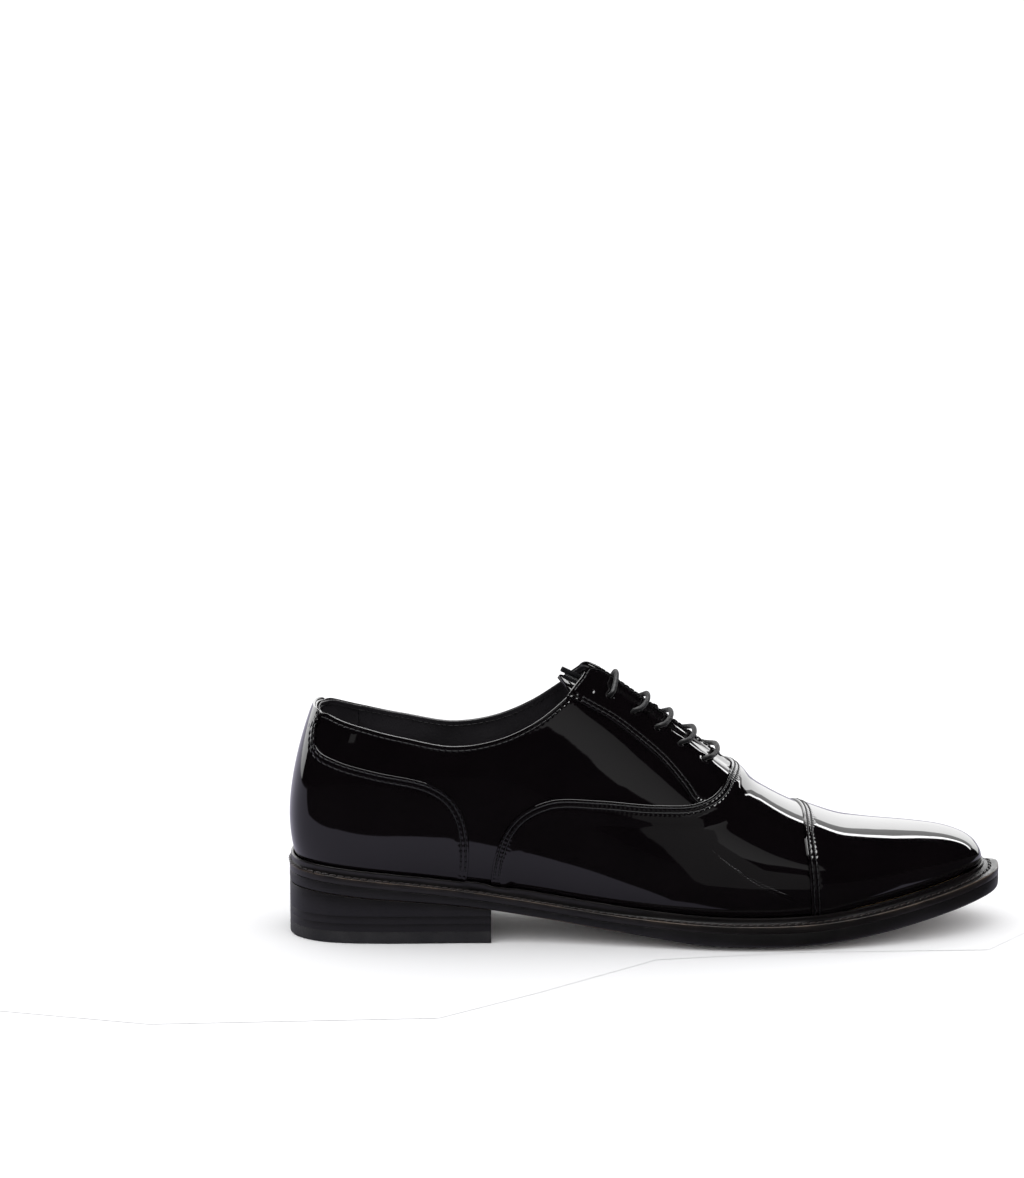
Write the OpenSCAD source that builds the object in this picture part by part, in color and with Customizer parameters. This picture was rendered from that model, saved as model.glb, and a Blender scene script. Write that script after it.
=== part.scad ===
// Cap-toe oxford shoe, right foot, closed lacing, welted sole and stacked heel.
// +X is the toe, -Y the outer side of the foot, +Z up. The origin is under the middle of the sole.

/* [Upper] */
// Thickness of the upper leather
leather = 1.2; // [0.9:0.1:1.4]
// Thickness of the lining leather
lining = 0.7; // [0.5:0.1:0.8]
// Thickness of the stiffeners in the toe and the heel
stiffener = 0.6; // [0.4:0.1:0.7]
// Gap left between two layers of leather
gap = 0.3; // [0.2:0.05:0.4]

/* [Sole] */
// Thickness of the welt
welt_t = 3; // [2.5:0.1:3.4]
// Thickness of the rubber top lift
top_lift_t = 5; // [4:0.5:6]
// Length of the heel, from its back to its breast
heel_len = 86.5; // [80:0.5:92]

/* [Lacing] */
// Diameter of the round lace
lace_d = 2.2; // [1.8:0.1:2.4]
// Diameter of a lace hole
hole_d = 3.4; // [3:0.1:4]

/* [Hidden] */

// ---- The shape of the last --------------------------------------------------------------
// Each station is a cross-section of the last, from the back of the heel to the toe:
// [x, z of the sole edge, z of the widest line, z of the ridge, half-widths on the outer side at
//  the sole edge and at the widest line, the same on the inner side at the widest line and the
//  sole edge, y of the ridge, squareness, share of the heel's curve]
STATIONS = [
    [-154,  29, 50, 114, 9, 11, 11, 9, 0, 0.05, 1],
    [-150,  29, 50, 114, 20, 23.5, 23, 19.5, 0, 0.05, 0.9],
    [-138,  28, 49, 115, 27.5, 31.5, 30.5, 26.5, 0, 0.06, 0.5],
    [-120,  26, 47, 118, 30, 34, 33, 28.5, 0, 0.07, 0.15],
    [-98,   24, 45, 122, 30, 35, 33.5, 27.5, 0, 0.08, 0],
    [-78,   21.5, 42, 127, 29.5, 35, 33, 25.5, 0, 0.08, 0],
    [-58,   18.5, 39, 128, 30, 35.5, 32, 23.5, 0, 0.06, 0],
    [-38,   15.5, 35, 123, 32, 37.5, 33, 24.5, 0, 0, 0],
    [-18,   13, 31, 110, 36, 40.5, 36, 29, 0, -0.04, 0],
    [2,     11.5, 28, 95.5, 40, 44, 41, 36, 0.3, -0.04, 0],
    [22,    10.5, 26, 80.5, 44.5, 48, 46, 42.5, 1, -0.03, 0],
    [42,    10.4, 25, 64.5, 46.5, 49.5, 48.5, 45.5, 2, 0, 0],
    [62,    10.8, 24.5, 52, 45.5, 48.5, 48.5, 46, 3, 0.03, 0],
    [80,    12.4, 25, 45.6, 42.5, 45, 46, 43.5, 4, 0.05, 0],
    [97,    15.2, 26.5, 43, 37.5, 40, 42.5, 40, 4.6, 0.06, 0],
    [112,   18, 28.5, 42, 31, 33.5, 37, 34.8, 5.2, 0.06, 0],
    [126,   21, 30, 41, 24, 27, 31, 28.5, 5.8, 0.06, 0],
    [138,   24, 30.5, 38.6, 14.5, 18, 23.5, 21, 6.2, 0.05, 0],
    [146.5, 26, 29, 33, 3.5, 6, 12, 9.5, 6.5, 0.04, 0]];
TOE_POINT = [6.6, 27];              // y and z of the foremost point of the upper
HEEL_CURVE = [5.5, 4.2, 0, 4.5, 11.5, 20, 28];  // how far the back leans in, sole edge to ridge
SPLINE_GROWTH = 1.026;              // a smoothed arch falls this much inside its control points
TURN_IN = 12;                       // the sole edge turns under by this much
LAST_ROW = len(STATIONS) - 1;
HEEL_END = -0.5;                    // station number of the back of the heel
TOE_END = LAST_ROW + 0.5;           // station number of the toe point
OUTER_EDGE = 1;                     // girth number of the sole edge on the outer side
RIDGE = 6;                          // girth number of the ridge
INNER_EDGE = 11;                    // girth number of the sole edge on the inner side

function half_girth(s, side, w, w_edge) = concat(
    [[s[0] + s[10] * HEEL_CURVE[0], side * (w_edge - TURN_IN), s[1] - 1.5]],
    [[s[0] + s[10] * HEEL_CURVE[1], side * w_edge, s[1]]],
    [for (i = [0:3]) let (
        a = 22.5 * i,
        f = 1 + s[9] * pow(sin(2 * a), 2),
        g = i == 0 ? 1.012 : SPLINE_GROWTH)
        [s[0] + s[10] * HEEL_CURVE[2 + i],
         s[8] + (side * w - s[8]) * cos(a) * f * g,
         s[2] + (s[3] - s[2]) * sin(a) * f * SPLINE_GROWTH]]);
function backwards(list) = [for (i = [len(list) - 1:-1:0]) list[i]];
function girth(s) = concat(
    half_girth(s, -1, s[5], s[4]),
    [[s[0] + s[10] * HEEL_CURVE[6], s[8], s[2] + (s[3] - s[2]) * SPLINE_GROWTH]],
    backwards(half_girth(s, 1, s[6], s[7])));
function past_heel(g) = [for (p = g) [p[0], -p[1], p[2]]];
function past_toe(g) = [for (p = g) [p[0], 2 * TOE_POINT[0] - p[1], 2 * TOE_POINT[1] - p[2]]];
NET = concat(
    [past_heel(girth(STATIONS[1])), past_heel(girth(STATIONS[0]))],
    [for (s = STATIONS) girth(s)],
    [past_toe(girth(STATIONS[LAST_ROW])), past_toe(girth(STATIONS[LAST_ROW - 1]))]);

function weights(f) = [pow(1 - f, 3), 3 * pow(f, 3) - 6 * f * f + 4,
    -3 * pow(f, 3) + 3 * f * f + 3 * f + 1, pow(f, 3)] / 6;
function blend4(w, a, b, c, d) = w[0] * a + w[1] * b + w[2] * c + w[3] * d;
function net_point(r, c, wc) =
    blend4(wc, NET[r][c - 1], NET[r][c], NET[r][c + 1], NET[r][c + 2]);
// A point of the last at station number t and girth number v; past the heel it comes back round
function on_last(t, v) = t < HEEL_END ? on_last_side(2 * HEEL_END - t, 2 * RIDGE - v, -1)
    : on_last_side(min(t, TOE_END), v, 1);
function on_last_side(t, v, side) = let (
    r = min(max(floor(t + 2), 1), len(NET) - 3), wr = weights(t + 2 - r),
    c = min(max(floor(v), 1), 10), wc = weights(v - c))
    blend4(wr, net_point(r - 1, c, wc), net_point(r, c, wc), net_point(r + 1, c, wc),
        net_point(r + 2, c, wc));
function unit(p) = p / norm(p);
function outward(t, v) = let (
    e = 0.02, tt = min(t, TOE_END - 0.05), vv = min(max(v, 1 + e), 11 - e),
    across = on_last(tt, vv + e) - on_last(tt, vv - e),
    along = on_last(tt + e, vv) - on_last(tt - e, vv))
    t > TOE_END - 0.01 ? [1, 0, 0] : unit(cross(along, across));
// A point lifted off the last by a distance, negative inwards
function off_last(t, v, lift) = on_last(t, v) + outward(t, v) * lift;

// ---- Smooth curves through a few points ----------------------------------------------------
function catmull(a, b, c, d, f) = 0.5 * (2 * b + (c - a) * f + (2 * a - 5 * b + 4 * c - d) * f * f
    + (3 * b - a - 3 * c + d) * pow(f, 3));
function along(pts, u) = let (
    n = len(pts) - 1, i = min(floor(u * n), n - 1))
    catmull(pts[max(i - 1, 0)], pts[i], pts[i + 1], pts[min(i + 2, n)], u * n - i);
function steps(n) = [for (i = [0:n]) i / n];
// Triangles without those that have closed up to a line, and triangles turned to face the other way
function whole_faces(fs) = [for (f = fs) if (f[0] != f[1] && f[1] != f[2] && f[2] != f[0]) f];
function reversed(fs) = [for (f = fs) backwards(f)];

STATION_MM = 19;                    // about how far apart two stations are
GIRTH_MM = 15;                      // about how far apart two girth lines are
LAP_WIDTH = 8;                      // width of a lap, and of its fall

// ---- A piece of leather lying on the last ----------------------------------------------------
// edge_a and edge_b are its two long edges as [station, girth]; low and high are the lifts of its
// two faces. lap raises it along edge_a, where it covers another leather, and falls away further in.
// sag lets it hang away from the last, more and more behind SAG_START.
SAG_START = 8.3;
function sinking(t, sag) = sag * pow(max(0, SAG_START - t), 2);
module skin(edge_a, edge_b, low, high, along_n, across_n, lap = 0, pole = false, sag = 0) {
    rows = steps(across_n);
    cols = steps(along_n);
    m = along_n + 1;
    n = across_n;
    function at(a, b) = (1 - b) * along(edge_a, a) + b * along(edge_b, a);
    function raise(p, q) = lap * min(1, max(0, 2 - norm([STATION_MM * (p[0] - q[0]),
        GIRTH_MM * (p[1] - q[1])]) / LAP_WIDTH));
    function face_points(lift) = [for (b = rows) for (a = cols)
        let (p = at(a, b)) off_last(p[0], p[1], lift + raise(p, at(a, 0)) - sinking(p[0], sag))];
    size = m * (n + 1);
    function id(i, j, layer) = layer * size + ((pole && i == n) ? n * m : i * m + j);
    top = [for (i = [0:n - 1]) for (j = [0:along_n - 1]) each
        [[id(i, j, 0), id(i + 1, j + 1, 0), id(i, j + 1, 0)],
         [id(i, j, 0), id(i + 1, j, 0), id(i + 1, j + 1, 0)]]];
    bottom = [for (f = top) [f[0] + size, f[2] + size, f[1] + size]];
    rim = concat(
        [for (j = [0:along_n - 1]) [id(0, j, 0), id(0, j + 1, 0)]],
        [for (i = [0:n - 1]) [id(i, along_n, 0), id(i + 1, along_n, 0)]],
        [for (j = [along_n:-1:1]) [id(n, j, 0), id(n, j - 1, 0)]],
        [for (i = [n:-1:1]) [id(i, 0, 0), id(i - 1, 0, 0)]]);
    walls = [for (e = rim) each [[e[0], e[1], e[1] + size], [e[0], e[1] + size, e[0] + size]]];
    step_a = at(0.55, 0.5) - at(0.45, 0.5);
    step_b = at(0.5, 0.55) - at(0.5, 0.45);
    mirrored = step_a[0] * step_b[1] < step_a[1] * step_b[0];
    faces = whole_faces(concat(top, bottom, walls));
    polyhedron(concat(face_points(high), face_points(low)), mirrored ? reversed(faces) : faces,
        convexity = 8);
}

// ---- Seams of the upper, as [station, girth] on the outer side -----------------------------
// The top edge of the quarter, from the back of the heel to the top of the facing
TOPLINE = [[-0.48, 4], [0, 3.99], [0.5, 3.97], [1, 3.94], [1.6, 3.9], [2.6, 3.67], [3.6, 3.43],
    [4.7, 3.25], [5.7, 3.37], [6.5, 3.74], [7.1, 4.33], [7.5, 5.2], [7.75, 5.86]];
LACE_EDGE = [[7.75, 5.86], [8.7, 5.88], [9.7, 5.91], [10.6, 5.94]];
FACING_SEAM = [[7.08, 4.3], [7.6, 4.39], [8.1, 4.42], [8.6, 4.34], [9.1, 4.18], [9.5, 3.9],
    [9.78, 3.7], [10.02, 3.98], [10.27, 4.4]];
VAMP_SEAM = [[5.5, 1], [5.6, 1.8], [5.95, 2.35], [6.7, 2.72], [7.8, 2.97], [9, 3.27], [9.9, 3.7],
    [10.4, 4.5], [10.7, 6]];
CAP_SEAM = [[12.25, 1], [12.18, 2.4], [12.15, 4], [12.3, 6]];
COUNTER_SEAM = [[5, 1], [5.05, 2], [4.8, 2.5], [4.2, 2.76], [3.2, 2.91], [2.2, 3.08], [1.4, 3.27],
    [1.05, 3.6], [0.9, 3.95]];
// The foot of the vamp, and its front edge under the toe cap
VAMP_FRONT = [[5.9, 1], [7.3, 1], [8.8, 1], [10.2, 1], [11.5, 1], [12.35, 1.03], [12.48, 1.6],
    [12.45, 3.5], [12.6, 6]];
// Where the quarter ends, under the vamp
QUARTER_FOOT = [[-0.48, 1], [0.1, 1], [0.7, 1], [1.4, 1], [2.4, 1], [3.8, 1], [5.2, 1], [5.8, 1.15],
    [6.1, 1.95], [6.75, 2.4], [7.9, 2.68], [9.1, 2.98], [10, 3.4], [10.5, 4.2], [10.62, 4.7]];
// Where the lining of the quarter ends, above the lining of the vamp
LINING_FOOT = [[2.55, 1.1], [3.6, 1.1], [4.6, 1.1], [5.6, 1.3], [6.5, 2], [7.4, 2.6], [8.4, 2.9],
    [9.4, 3.2], [10.2, 3.8], [10.6, 4.7]];
LINING_TOP = [[2.5, 3.62], [3.6, 3.38], [4.7, 3.2], [5.7, 3.32], [6.5, 3.69], [7.12, 4.33],
    [7.52, 5.2], [7.77, 5.84], [9, 5.86], [10.6, 5.9]];
function both_sides(pts) = concat(pts, backwards([for (i = [0:len(pts) - 2]) inner(pts[i])]));
function inner(p) = [p[0], 2 * RIDGE - p[1]];
function inner_side(pts) = backwards([for (p = pts) inner(p)]);
// Carries a seam of the outer side on round the back of the heel
function round_heel(pts) = concat(pts, backwards([for (p = pts) [2 * HEEL_END - p[0], p[1]]]));
function moved(pts, dt) = [for (p = pts) [p[0] + dt, p[1]]];
function to_toe(pts) = [for (p = pts) [TOE_END, p[1]]];

under_lap = leather + gap;                      // lift of a leather that laps over another
lining_high = -(leather + stiffener + 2 * gap); // outer face of the lining
lining_low = lining_high - lining;
stiff_high = -(leather + gap);
stiff_low = stiff_high - stiffener;

// ---- Upper -------------------------------------------------------------------------------------
PATENT = [0.05, 0.05, 0.06];
LINING = [0.17, 0.17, 0.18];
STAINED = [0.14, 0.12, 0.13];
RUBBER = [0.07, 0.07, 0.07];

module toe_cap() {
    seam = both_sides(CAP_SEAM);
    color(PATENT) skin(seam, to_toe(seam), -leather, 0, 32, 15, under_lap, true);
}
module vamp() {
    color(PATENT) skin(both_sides(VAMP_SEAM), both_sides(VAMP_FRONT), -leather, 0, 42, 12, under_lap);
}
module quarter(foot, top) {
    color(PATENT) difference() {
        skin(foot, top, -leather, 0, 36, 8);
        lace_holes(foot[0][1] > RIDGE ? 1 : -1);
    }
}
module quarter_lateral() { quarter(QUARTER_FOOT, concat(TOPLINE, LACE_EDGE)); }
module quarter_medial() {
    quarter(inner_side(QUARTER_FOOT), inner_side(concat(TOPLINE, LACE_EDGE)));
}
module facing(seam, edge, side) {
    color(PATENT) difference() {
        skin(seam, edge, gap, gap + leather, 22, 6);
        lace_holes(side);
    }
}
module facing_lateral() { facing(FACING_SEAM, LACE_EDGE, -1); }
module facing_medial() { facing(inner_side(FACING_SEAM), inner_side(LACE_EDGE), 1); }
module counter_cover() {
    low = 2 * gap;
    seam = round_heel(COUNTER_SEAM);
    foot = round_heel([[4.75, 1], [3.4, 1], [2.1, 1], [0.8, 1]]);
    color(PATENT) skin(foot, seam, low, low + leather, 48, 7);
}

// ---- Tongue --------------------------------------------------------------------------------------
tongue_high = lining_low - lace_d - 4 * gap;    // the lace runs between the lining and the tongue
TONGUE_EDGE = [[11.1, 5], [10, 4.7], [8.8, 4.55], [8, 4.5], [7.55, 4.75], [7.35, 5.3], [7.3, 6]];
TONGUE_SAG = 4.5;                   // how fast its loose end sinks into the shoe
module tongue_layer(high, thickness, inset) {
    half = [for (p = TONGUE_EDGE) [p[0], min(p[1] + inset, RIDGE)]];
    skin(half, [for (p = half) inner(p)], high - thickness, high, 18, 8, sag = TONGUE_SAG);
}
module tongue() { color(PATENT) tongue_layer(tongue_high, leather, 0); }
LINING_INSET = 0.08;                // the lining ends this many girths inside the tongue's edge
module tongue_lining() {
    color(LINING) tongue_layer(tongue_high - leather - gap, lining, LINING_INSET);
}

// ---- Stiffeners and linings ----------------------------------------------------------------------
module toe_puff() {
    seam = moved(both_sides(CAP_SEAM), 0.9);
    color("burlywood") skin(seam, to_toe(seam), stiff_low, stiff_high, 26, 9, pole = true);
}
module heel_stiffener() {
    top = round_heel([[4.4, 1.7], [3.9, 2.4], [2.8, 2.8], [1.5, 3], [0.2, 3.1]]);
    foot = round_heel([[4.5, 1.1], [3.4, 1.1], [2.3, 1.1], [1.2, 1.1], [0.1, 1.1]]);
    color("burlywood") skin(foot, top, stiff_low, stiff_high, 32, 5);
}
module vamp_lining() {
    low_edge = [[5.65, 1.15], [6.55, 1.87], [7.5, 2.5], [8.5, 2.8], [9.5, 3.1], [10.3, 3.7], [10.72, 4.7],
        [10.8, 6]];
    seam = both_sides(low_edge);
    color(LINING) skin(seam, to_toe(seam), lining_low, lining_high, 32, 12, pole = true);
}
module quarter_lining(foot, top, side) {
    color(LINING) difference() {
        skin(foot, top, lining_low, lining_high, 28, 6);
        lace_holes(side);
    }
}
module quarter_lining_lateral() { quarter_lining(LINING_FOOT, LINING_TOP, -1); }
module quarter_lining_medial() {
    quarter_lining(inner_side(LINING_FOOT), inner_side(LINING_TOP), 1);
}
module heel_grip() {
    foot = round_heel([[2.5, 1.1], [1.5, 1.1], [0.5, 1.1]]);
    top = round_heel([[2.45, 3.63], [1.6, 3.85], [0.6, 3.92]]);
    color(LINING) skin(foot, top, lining_low, lining_high, 26, 5);
}

// ---- Lace holes and the lace ---------------------------------------------------------------------
EYELETS = [for (k = [0:4]) 10.05 - 0.5 * k];    // stations of the lace holes, from the throat up
EYELET_GIRTH = 1;                               // each hole lies this far from the ridge, in girths
module lace_holes(side) {
    for (t = EYELETS) {
        n = outward(t, RIDGE + side * EYELET_GIRTH);
        translate(on_last(t, RIDGE + side * EYELET_GIRTH))
        rotate([0, acos(n[2]), atan2(n[1], n[0])])
        cylinder(h = 10, d = hole_d, center = true, $fn = 12);
    }
}
// Each point of the lace's route is [station, girths from the ridge, lift]; hole n is counted from
// the throat. A bar comes up one hole, crosses straight over the facings and goes down the other.
function bar(n, from) = let (t = EYELETS[n - 1]) concat(
    [[t, from, -2], [t, from, 1.5]],
    [for (p = [[0.04, 0.92, 2.9], [0.12, 0.5, 3], [0.17, 0, 2.8], [0.12, -0.5, 3], [0.04, -0.92, 2.9]])
        [t + p[0], from * p[1], p[2]]],
    [[t, -from, 1.5], [t, -from, -2]]);
under = -(leather + stiffener + lining + 2 * gap + lace_d / 2 + 0.6);  // lift of the hidden runs
// The two ends sink with the tongue that they lie on
END_A = [[7.7, -0.72, under - 1.5], [7.95, -0.72, under - 0.4]];
END_B = [[7.85, 0.72, under - 0.4], [7.66, 0.68, under - 1.4]];
LACE_ROUTE = concat(
    END_A, [[8.25, -0.75, under], [8.47, -0.95, under]],
    bar(4, -1), [[8.63, 1.03, under], [8.8, 1.2, under], [9.05, 1.28, under], [9.3, 1.2, under],
        [9.47, 1.03, under]],
    bar(2, 1), [[9.63, -1, under], [9.8, -1, under], [9.97, -1, under]],
    bar(1, -1), [[9.97, 0.97, under], [9.8, 0.8, under], [9.55, 0.72, under], [9.3, 0.8, under],
        [9.13, 0.97, under]],
    bar(3, 1), [[8.97, -1.03, under], [8.8, -1.2, under], [8.55, -1.28, under], [8.3, -1.2, under],
        [8.13, -1.03, under]],
    bar(5, -1), [[7.97, 0.95, under]], END_B);
function on_route(p) = off_last(p[0], RIDGE + p[1], p[2]);

// A round cord through points; its sides turn with it and never twist
module tube(pts, d, sides = 8) {
    n = len(pts);
    tangents = [for (i = [0:n - 1]) unit(pts[min(i + 1, n - 1)] - pts[max(i - 1, 0)])];
    ups = [for (i = 0, up = unit(cross(tangents[0], [0, 1, 0.1])); i < n;
        i = i + 1, up = i < n ? unit(up - (up * tangents[i]) * tangents[i]) : up) up];
    ring_pts = [for (i = [0:n - 1]) for (k = [0:sides - 1])
        let (a = 360 * k / sides, right = cross(tangents[i], ups[i]))
        pts[i] + d / 2 * (cos(a) * ups[i] + sin(a) * right)];
    side_faces = [for (i = [0:n - 2]) for (k = [0:sides - 1]) let (
        a = i * sides + k, b = i * sides + (k + 1) % sides)
        each [[a, b, b + sides], [a, b + sides, a + sides]]];
    ends = [[for (k = [0:sides - 1]) sides - 1 - k], [for (k = [0:sides - 1]) (n - 1) * sides + k]];
    polyhedron(ring_pts, reversed(concat(side_faces, ends)), convexity = 10);
}
AGLET_LENGTH = 10;
function aglet_line(tip, next) = let (a = on_route(tip), b = on_route(next), dir = unit(a - b))
    [a + 0.05 * dir, a + AGLET_LENGTH * dir];
module lace() { color([0.08, 0.08, 0.08]) tube([for (p = LACE_ROUTE) on_route(p)], lace_d); }
module aglets() {
    color([0.1, 0.1, 0.1]) {
        tube(aglet_line(END_A[0], END_A[1]), lace_d + 0.2, 12);
        tube(aglet_line(END_B[1], END_B[0]), lace_d + 0.2, 12);
    }
}

// ---- Sole ------------------------------------------------------------------------------------------
// Each list gives [station, value in mm] from the heel to the toe
// How far the sole stands out beyond the edge of the last
MARGIN = [[-0.5, 3.2], [2, 5], [5, 5], [9, 6], [12, 7], [15, 7.5], [18.5, 7.9]];
// Height of the edge of welt and sole together
EDGE = [[-0.5, 8], [3, 7.8], [5, 6.7], [7, 6.3], [8.5, 6.8], [10, 8.7], [18.5, 8.8]];
// How high the welt's inner bead stands up the side of the upper
BEAD = [[-0.5, 2.6], [5, 2.8], [8, 2.6], [10, 1.2], [13, 1.2], [16, 2], [18.5, 2.2]];
// How far the welt's top lies below the edge of the last
DROP = [[-0.5, 2.4], [6, 2.5], [10, 2.3], [14, 2.2], [18.5, 1.9]];
// How much the bottom of the sole bulges below its rim
CROWN = [[-0.5, 0], [5.7, 0], [7, 1], [9.5, 1.6], [18.5, 1.6]];
SOLE_STATIONS = [-0.5, 1, 2, 3, 4, 5, 5.7, 6, 7, 8, 8.5, 9, 9.5, 10, 11, 12, 13, 14, 15, 16, 17, 18.5];
LAYER_GAP = 0.15;                               // gap between two layers of the sole
EDGE_N = 76;                                    // points round the sole, an even number
BREAST_X = -154 + heel_len;

function edge_station(u) = let (h = u < 0 ? -u : u > 1 ? 2 - u : u)
    HEEL_END + (TOE_END - HEEL_END) * (0.4 * (0.5 - 0.5 * cos(180 * h)) + 0.6 * h);
function edge_girth(u) = (u < 0 || u > 1) ? INNER_EDGE : OUTER_EDGE;
function edge_point(u) = on_last(edge_station(u), edge_girth(u));
function edge_out(u) = let (d = edge_point(u + 0.004) - edge_point(u - 0.004))
    unit([d[1], -d[0], 0]);
EDGE_U = [for (i = [0:EDGE_N - 1]) 2 * i / EDGE_N];
// A ring round the sole: margin outside the edge of the last, and height above it
function edge_ring(margin, height) = [for (u = EDGE_U) let (t = edge_station(u))
    edge_point(u) + (lookup(t, margin)) * edge_out(u) + [0, 0, lookup(t, height)]];
// A list that adds two lists, the second one times f, and a list with the same value everywhere
function plus(a, b, f = 1) = [for (t = SOLE_STATIONS) [t, lookup(t, a) + f * lookup(t, b)]];
function always(x) = [[HEEL_END, x], [TOE_END, x]];

// A solid closed by its first ring above and its last ring below
module ringed(rings) {
    n = len(rings[0]);
    m = len(rings);
    walls = [for (r = [0:m - 2]) for (i = [0:n - 1]) let (a = r * n + i, b = r * n + (i + 1) % n)
        each [[a, b + n, b], [a, a + n, b + n]]];
    top = [for (i = [0:n / 2 - 1]) let (a = i, b = i + 1, c = (n - i) % n, d = n - i - 1)
        each [[a, b, d], [a, d, c]]];
    bottom = [for (f = top) [for (k = [2:-1:0]) f[k] + (m - 1) * n]];
    faces = reversed(whole_faces(concat(walls, top, bottom)));
    polyhedron([for (r = rings) each r], faces, convexity = 6);
}
seat = plus(always(-welt_t - LAYER_GAP), DROP, -1); // top of the outsole above the edge of the last
foot_line = plus(always(0), plus(DROP, EDGE), -1);  // lower edge of the outsole
function wider(margin, d) = plus(margin, always(d));

WELT_IN = -5;                                   // how far the welt reaches in under the upper
BEAD_W = 1.3;                                   // width of the bead's top
BEAD_CLEAR = 0.2;                               // gap between the bead and the upper
WELT_ROUND = 0.5;                               // the welt's upper edge is taken off by this much

module welt() {
    shelf = plus(always(0), DROP, -1);
    crest = [for (u = EDGE_U) let (t = edge_station(u), v = edge_girth(u), s = v == OUTER_EDGE ? 1 : -1)
        off_last(min(t, TOE_END - 0.02), v + s * lookup(t, BEAD) / 20, leather + 2 * gap + BEAD_CLEAR)];
    crest_outer = [for (i = [0:EDGE_N - 1]) crest[i] + BEAD_W * edge_out(EDGE_U[i])];
    loops = [
        edge_ring(always(WELT_IN), wider(shelf, -welt_t)),
        edge_ring(always(WELT_IN), wider(shelf, -1)),
        edge_ring(always(0.8), shelf),
        crest,
        crest_outer,
        edge_ring(wider(MARGIN, -BEAD_W), shelf),
        edge_ring(wider(MARGIN, -WELT_ROUND), shelf),
        edge_ring(MARGIN, wider(shelf, -WELT_ROUND)),
        edge_ring(MARGIN, wider(shelf, -welt_t))];
    m = len(loops);
    faces = [for (r = [0:m - 1]) for (i = [0:EDGE_N - 1]) let (
        a = r * EDGE_N + i, b = r * EDGE_N + (i + 1) % EDGE_N, s = ((r + 1) % m) * EDGE_N - r * EDGE_N)
        each [[a, b, b + s], [a, b + s, a + s]]];
    color(STAINED) polyhedron([for (r = loops) each r], faces, convexity = 8);
}
SOLE_ROUND = 1;                                 // the sole's lower edge is taken off by this much
CROWN_IN = 8;                                   // the bulge of the bottom is full this far in
module outsole() {
    color(STAINED) ringed([
        edge_ring(MARGIN, seat),
        edge_ring(MARGIN, wider(foot_line, SOLE_ROUND)),
        edge_ring(wider(MARGIN, -SOLE_ROUND), foot_line),
        edge_ring(wider(MARGIN, -CROWN_IN), plus(foot_line, CROWN, -1))]);
}
// A flat layer inside the upper: its inset from the last's edge, and its two heights over that edge
module inner_sole(inset, low, high) {
    ringed([edge_ring(always(-inset), always(high)), edge_ring(always(-inset), always(low))]);
}
module insole() { color("tan") inner_sole(2.4, -1.5, 0.8); }
module sock_lining() { color(LINING) inner_sole(3.8, 1, 1.7); }

CORK_IN = 6;                                    // the cork lies this far inside the last's edge
CORK_BACK = -14;                                // x where the cork ends behind the ball of the foot
CORK_TOP = -3;                                  // height of its top over the last's edge
ROOM = 200;                                     // larger than the shoe in every direction
module cork_filler() {
    color("peru") intersection() {
        ringed([edge_ring(always(-CORK_IN), always(CORK_TOP)),
            edge_ring(always(-CORK_IN), wider(seat, 2 * LAYER_GAP))]);
        translate([CORK_BACK, -ROOM / 2, 0]) cube(ROOM);
    }
}
SHANK_W = 15;
SHANK_T = 1.5;
SHANK_STATIONS = [2:0.6:8];
SHANK_DROP = 2.4;                               // top of the shank below the edge of the last
module shank() {
    bend = [for (t = SHANK_STATIONS) let (p = on_last(t, OUTER_EDGE)) [p[0], p[2] - SHANK_DROP]];
    color("silver") rotate([90, 0, 0]) linear_extrude(SHANK_W, center = true)
    polygon(concat(bend, backwards([for (p = bend) p - [0, SHANK_T]])));
}

// ---- Heel ------------------------------------------------------------------------------------------
LIFT_T = 3.3;                                   // each of the two flat leather lifts
joint_z = top_lift_t + 2 * LIFT_T;              // top of the flat lifts
NAIL_D = 1.8;
NAIL_L = 7;
NAIL_IN = 6;                                    // the nails stand this far inside the last's edge
NAIL_SUNK = 0.3;
// Everything behind the heel's breast
module behind_breast() { translate([BREAST_X - ROOM, -ROOM / 2, 0]) cube(ROOM); }
module heel_outline() {
    intersection() {
        polygon([for (p = edge_ring(MARGIN, always(0))) [p[0], p[1]]]);
        projection() behind_breast();
    }
}
module lift(low, thickness) { translate([0, 0, low]) linear_extrude(thickness) heel_outline(); }
module nail_places() {
    for (u = [0.03, 0.075, 0.12, 0.165, 0.21]) for (side = [-1, 1]) {
        p = edge_point(side * u) - NAIL_IN * edge_out(side * u);
        translate([p[0], p[1], 0]) children();
    }
}
module nail(low, length) { translate([0, 0, low]) cylinder(h = length, d = NAIL_D, $fn = 20); }
module nail_holes() { nail_places() nail(-1, NAIL_L + NAIL_SUNK + 1); }
module heel_wedge() {
    color(STAINED) intersection() {
        ringed([edge_ring(MARGIN, wider(foot_line, -LAYER_GAP)), wedge_foot()]);
        behind_breast();
    }
}
// The wedge's flat bottom; in front of the heel, where it is cut off, it follows the outsole
function wedge_foot() = [for (p = edge_ring(MARGIN, wider(foot_line, -1)))
    [p[0], p[1], min(joint_z, p[2])]];
module heel_lift_upper() { color(STAINED) lift(top_lift_t + LIFT_T, LIFT_T); }
module heel_lift_lower() {
    color(STAINED) difference() {
        lift(top_lift_t, LIFT_T);
        nail_holes();
    }
}
module top_lift() {
    color(RUBBER) difference() {
        lift(0, top_lift_t);
        nail_holes();
    }
}
module heel_nails() { color([0.75, 0.6, 0.3]) nail_places() nail(NAIL_SUNK, NAIL_L); }

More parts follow.
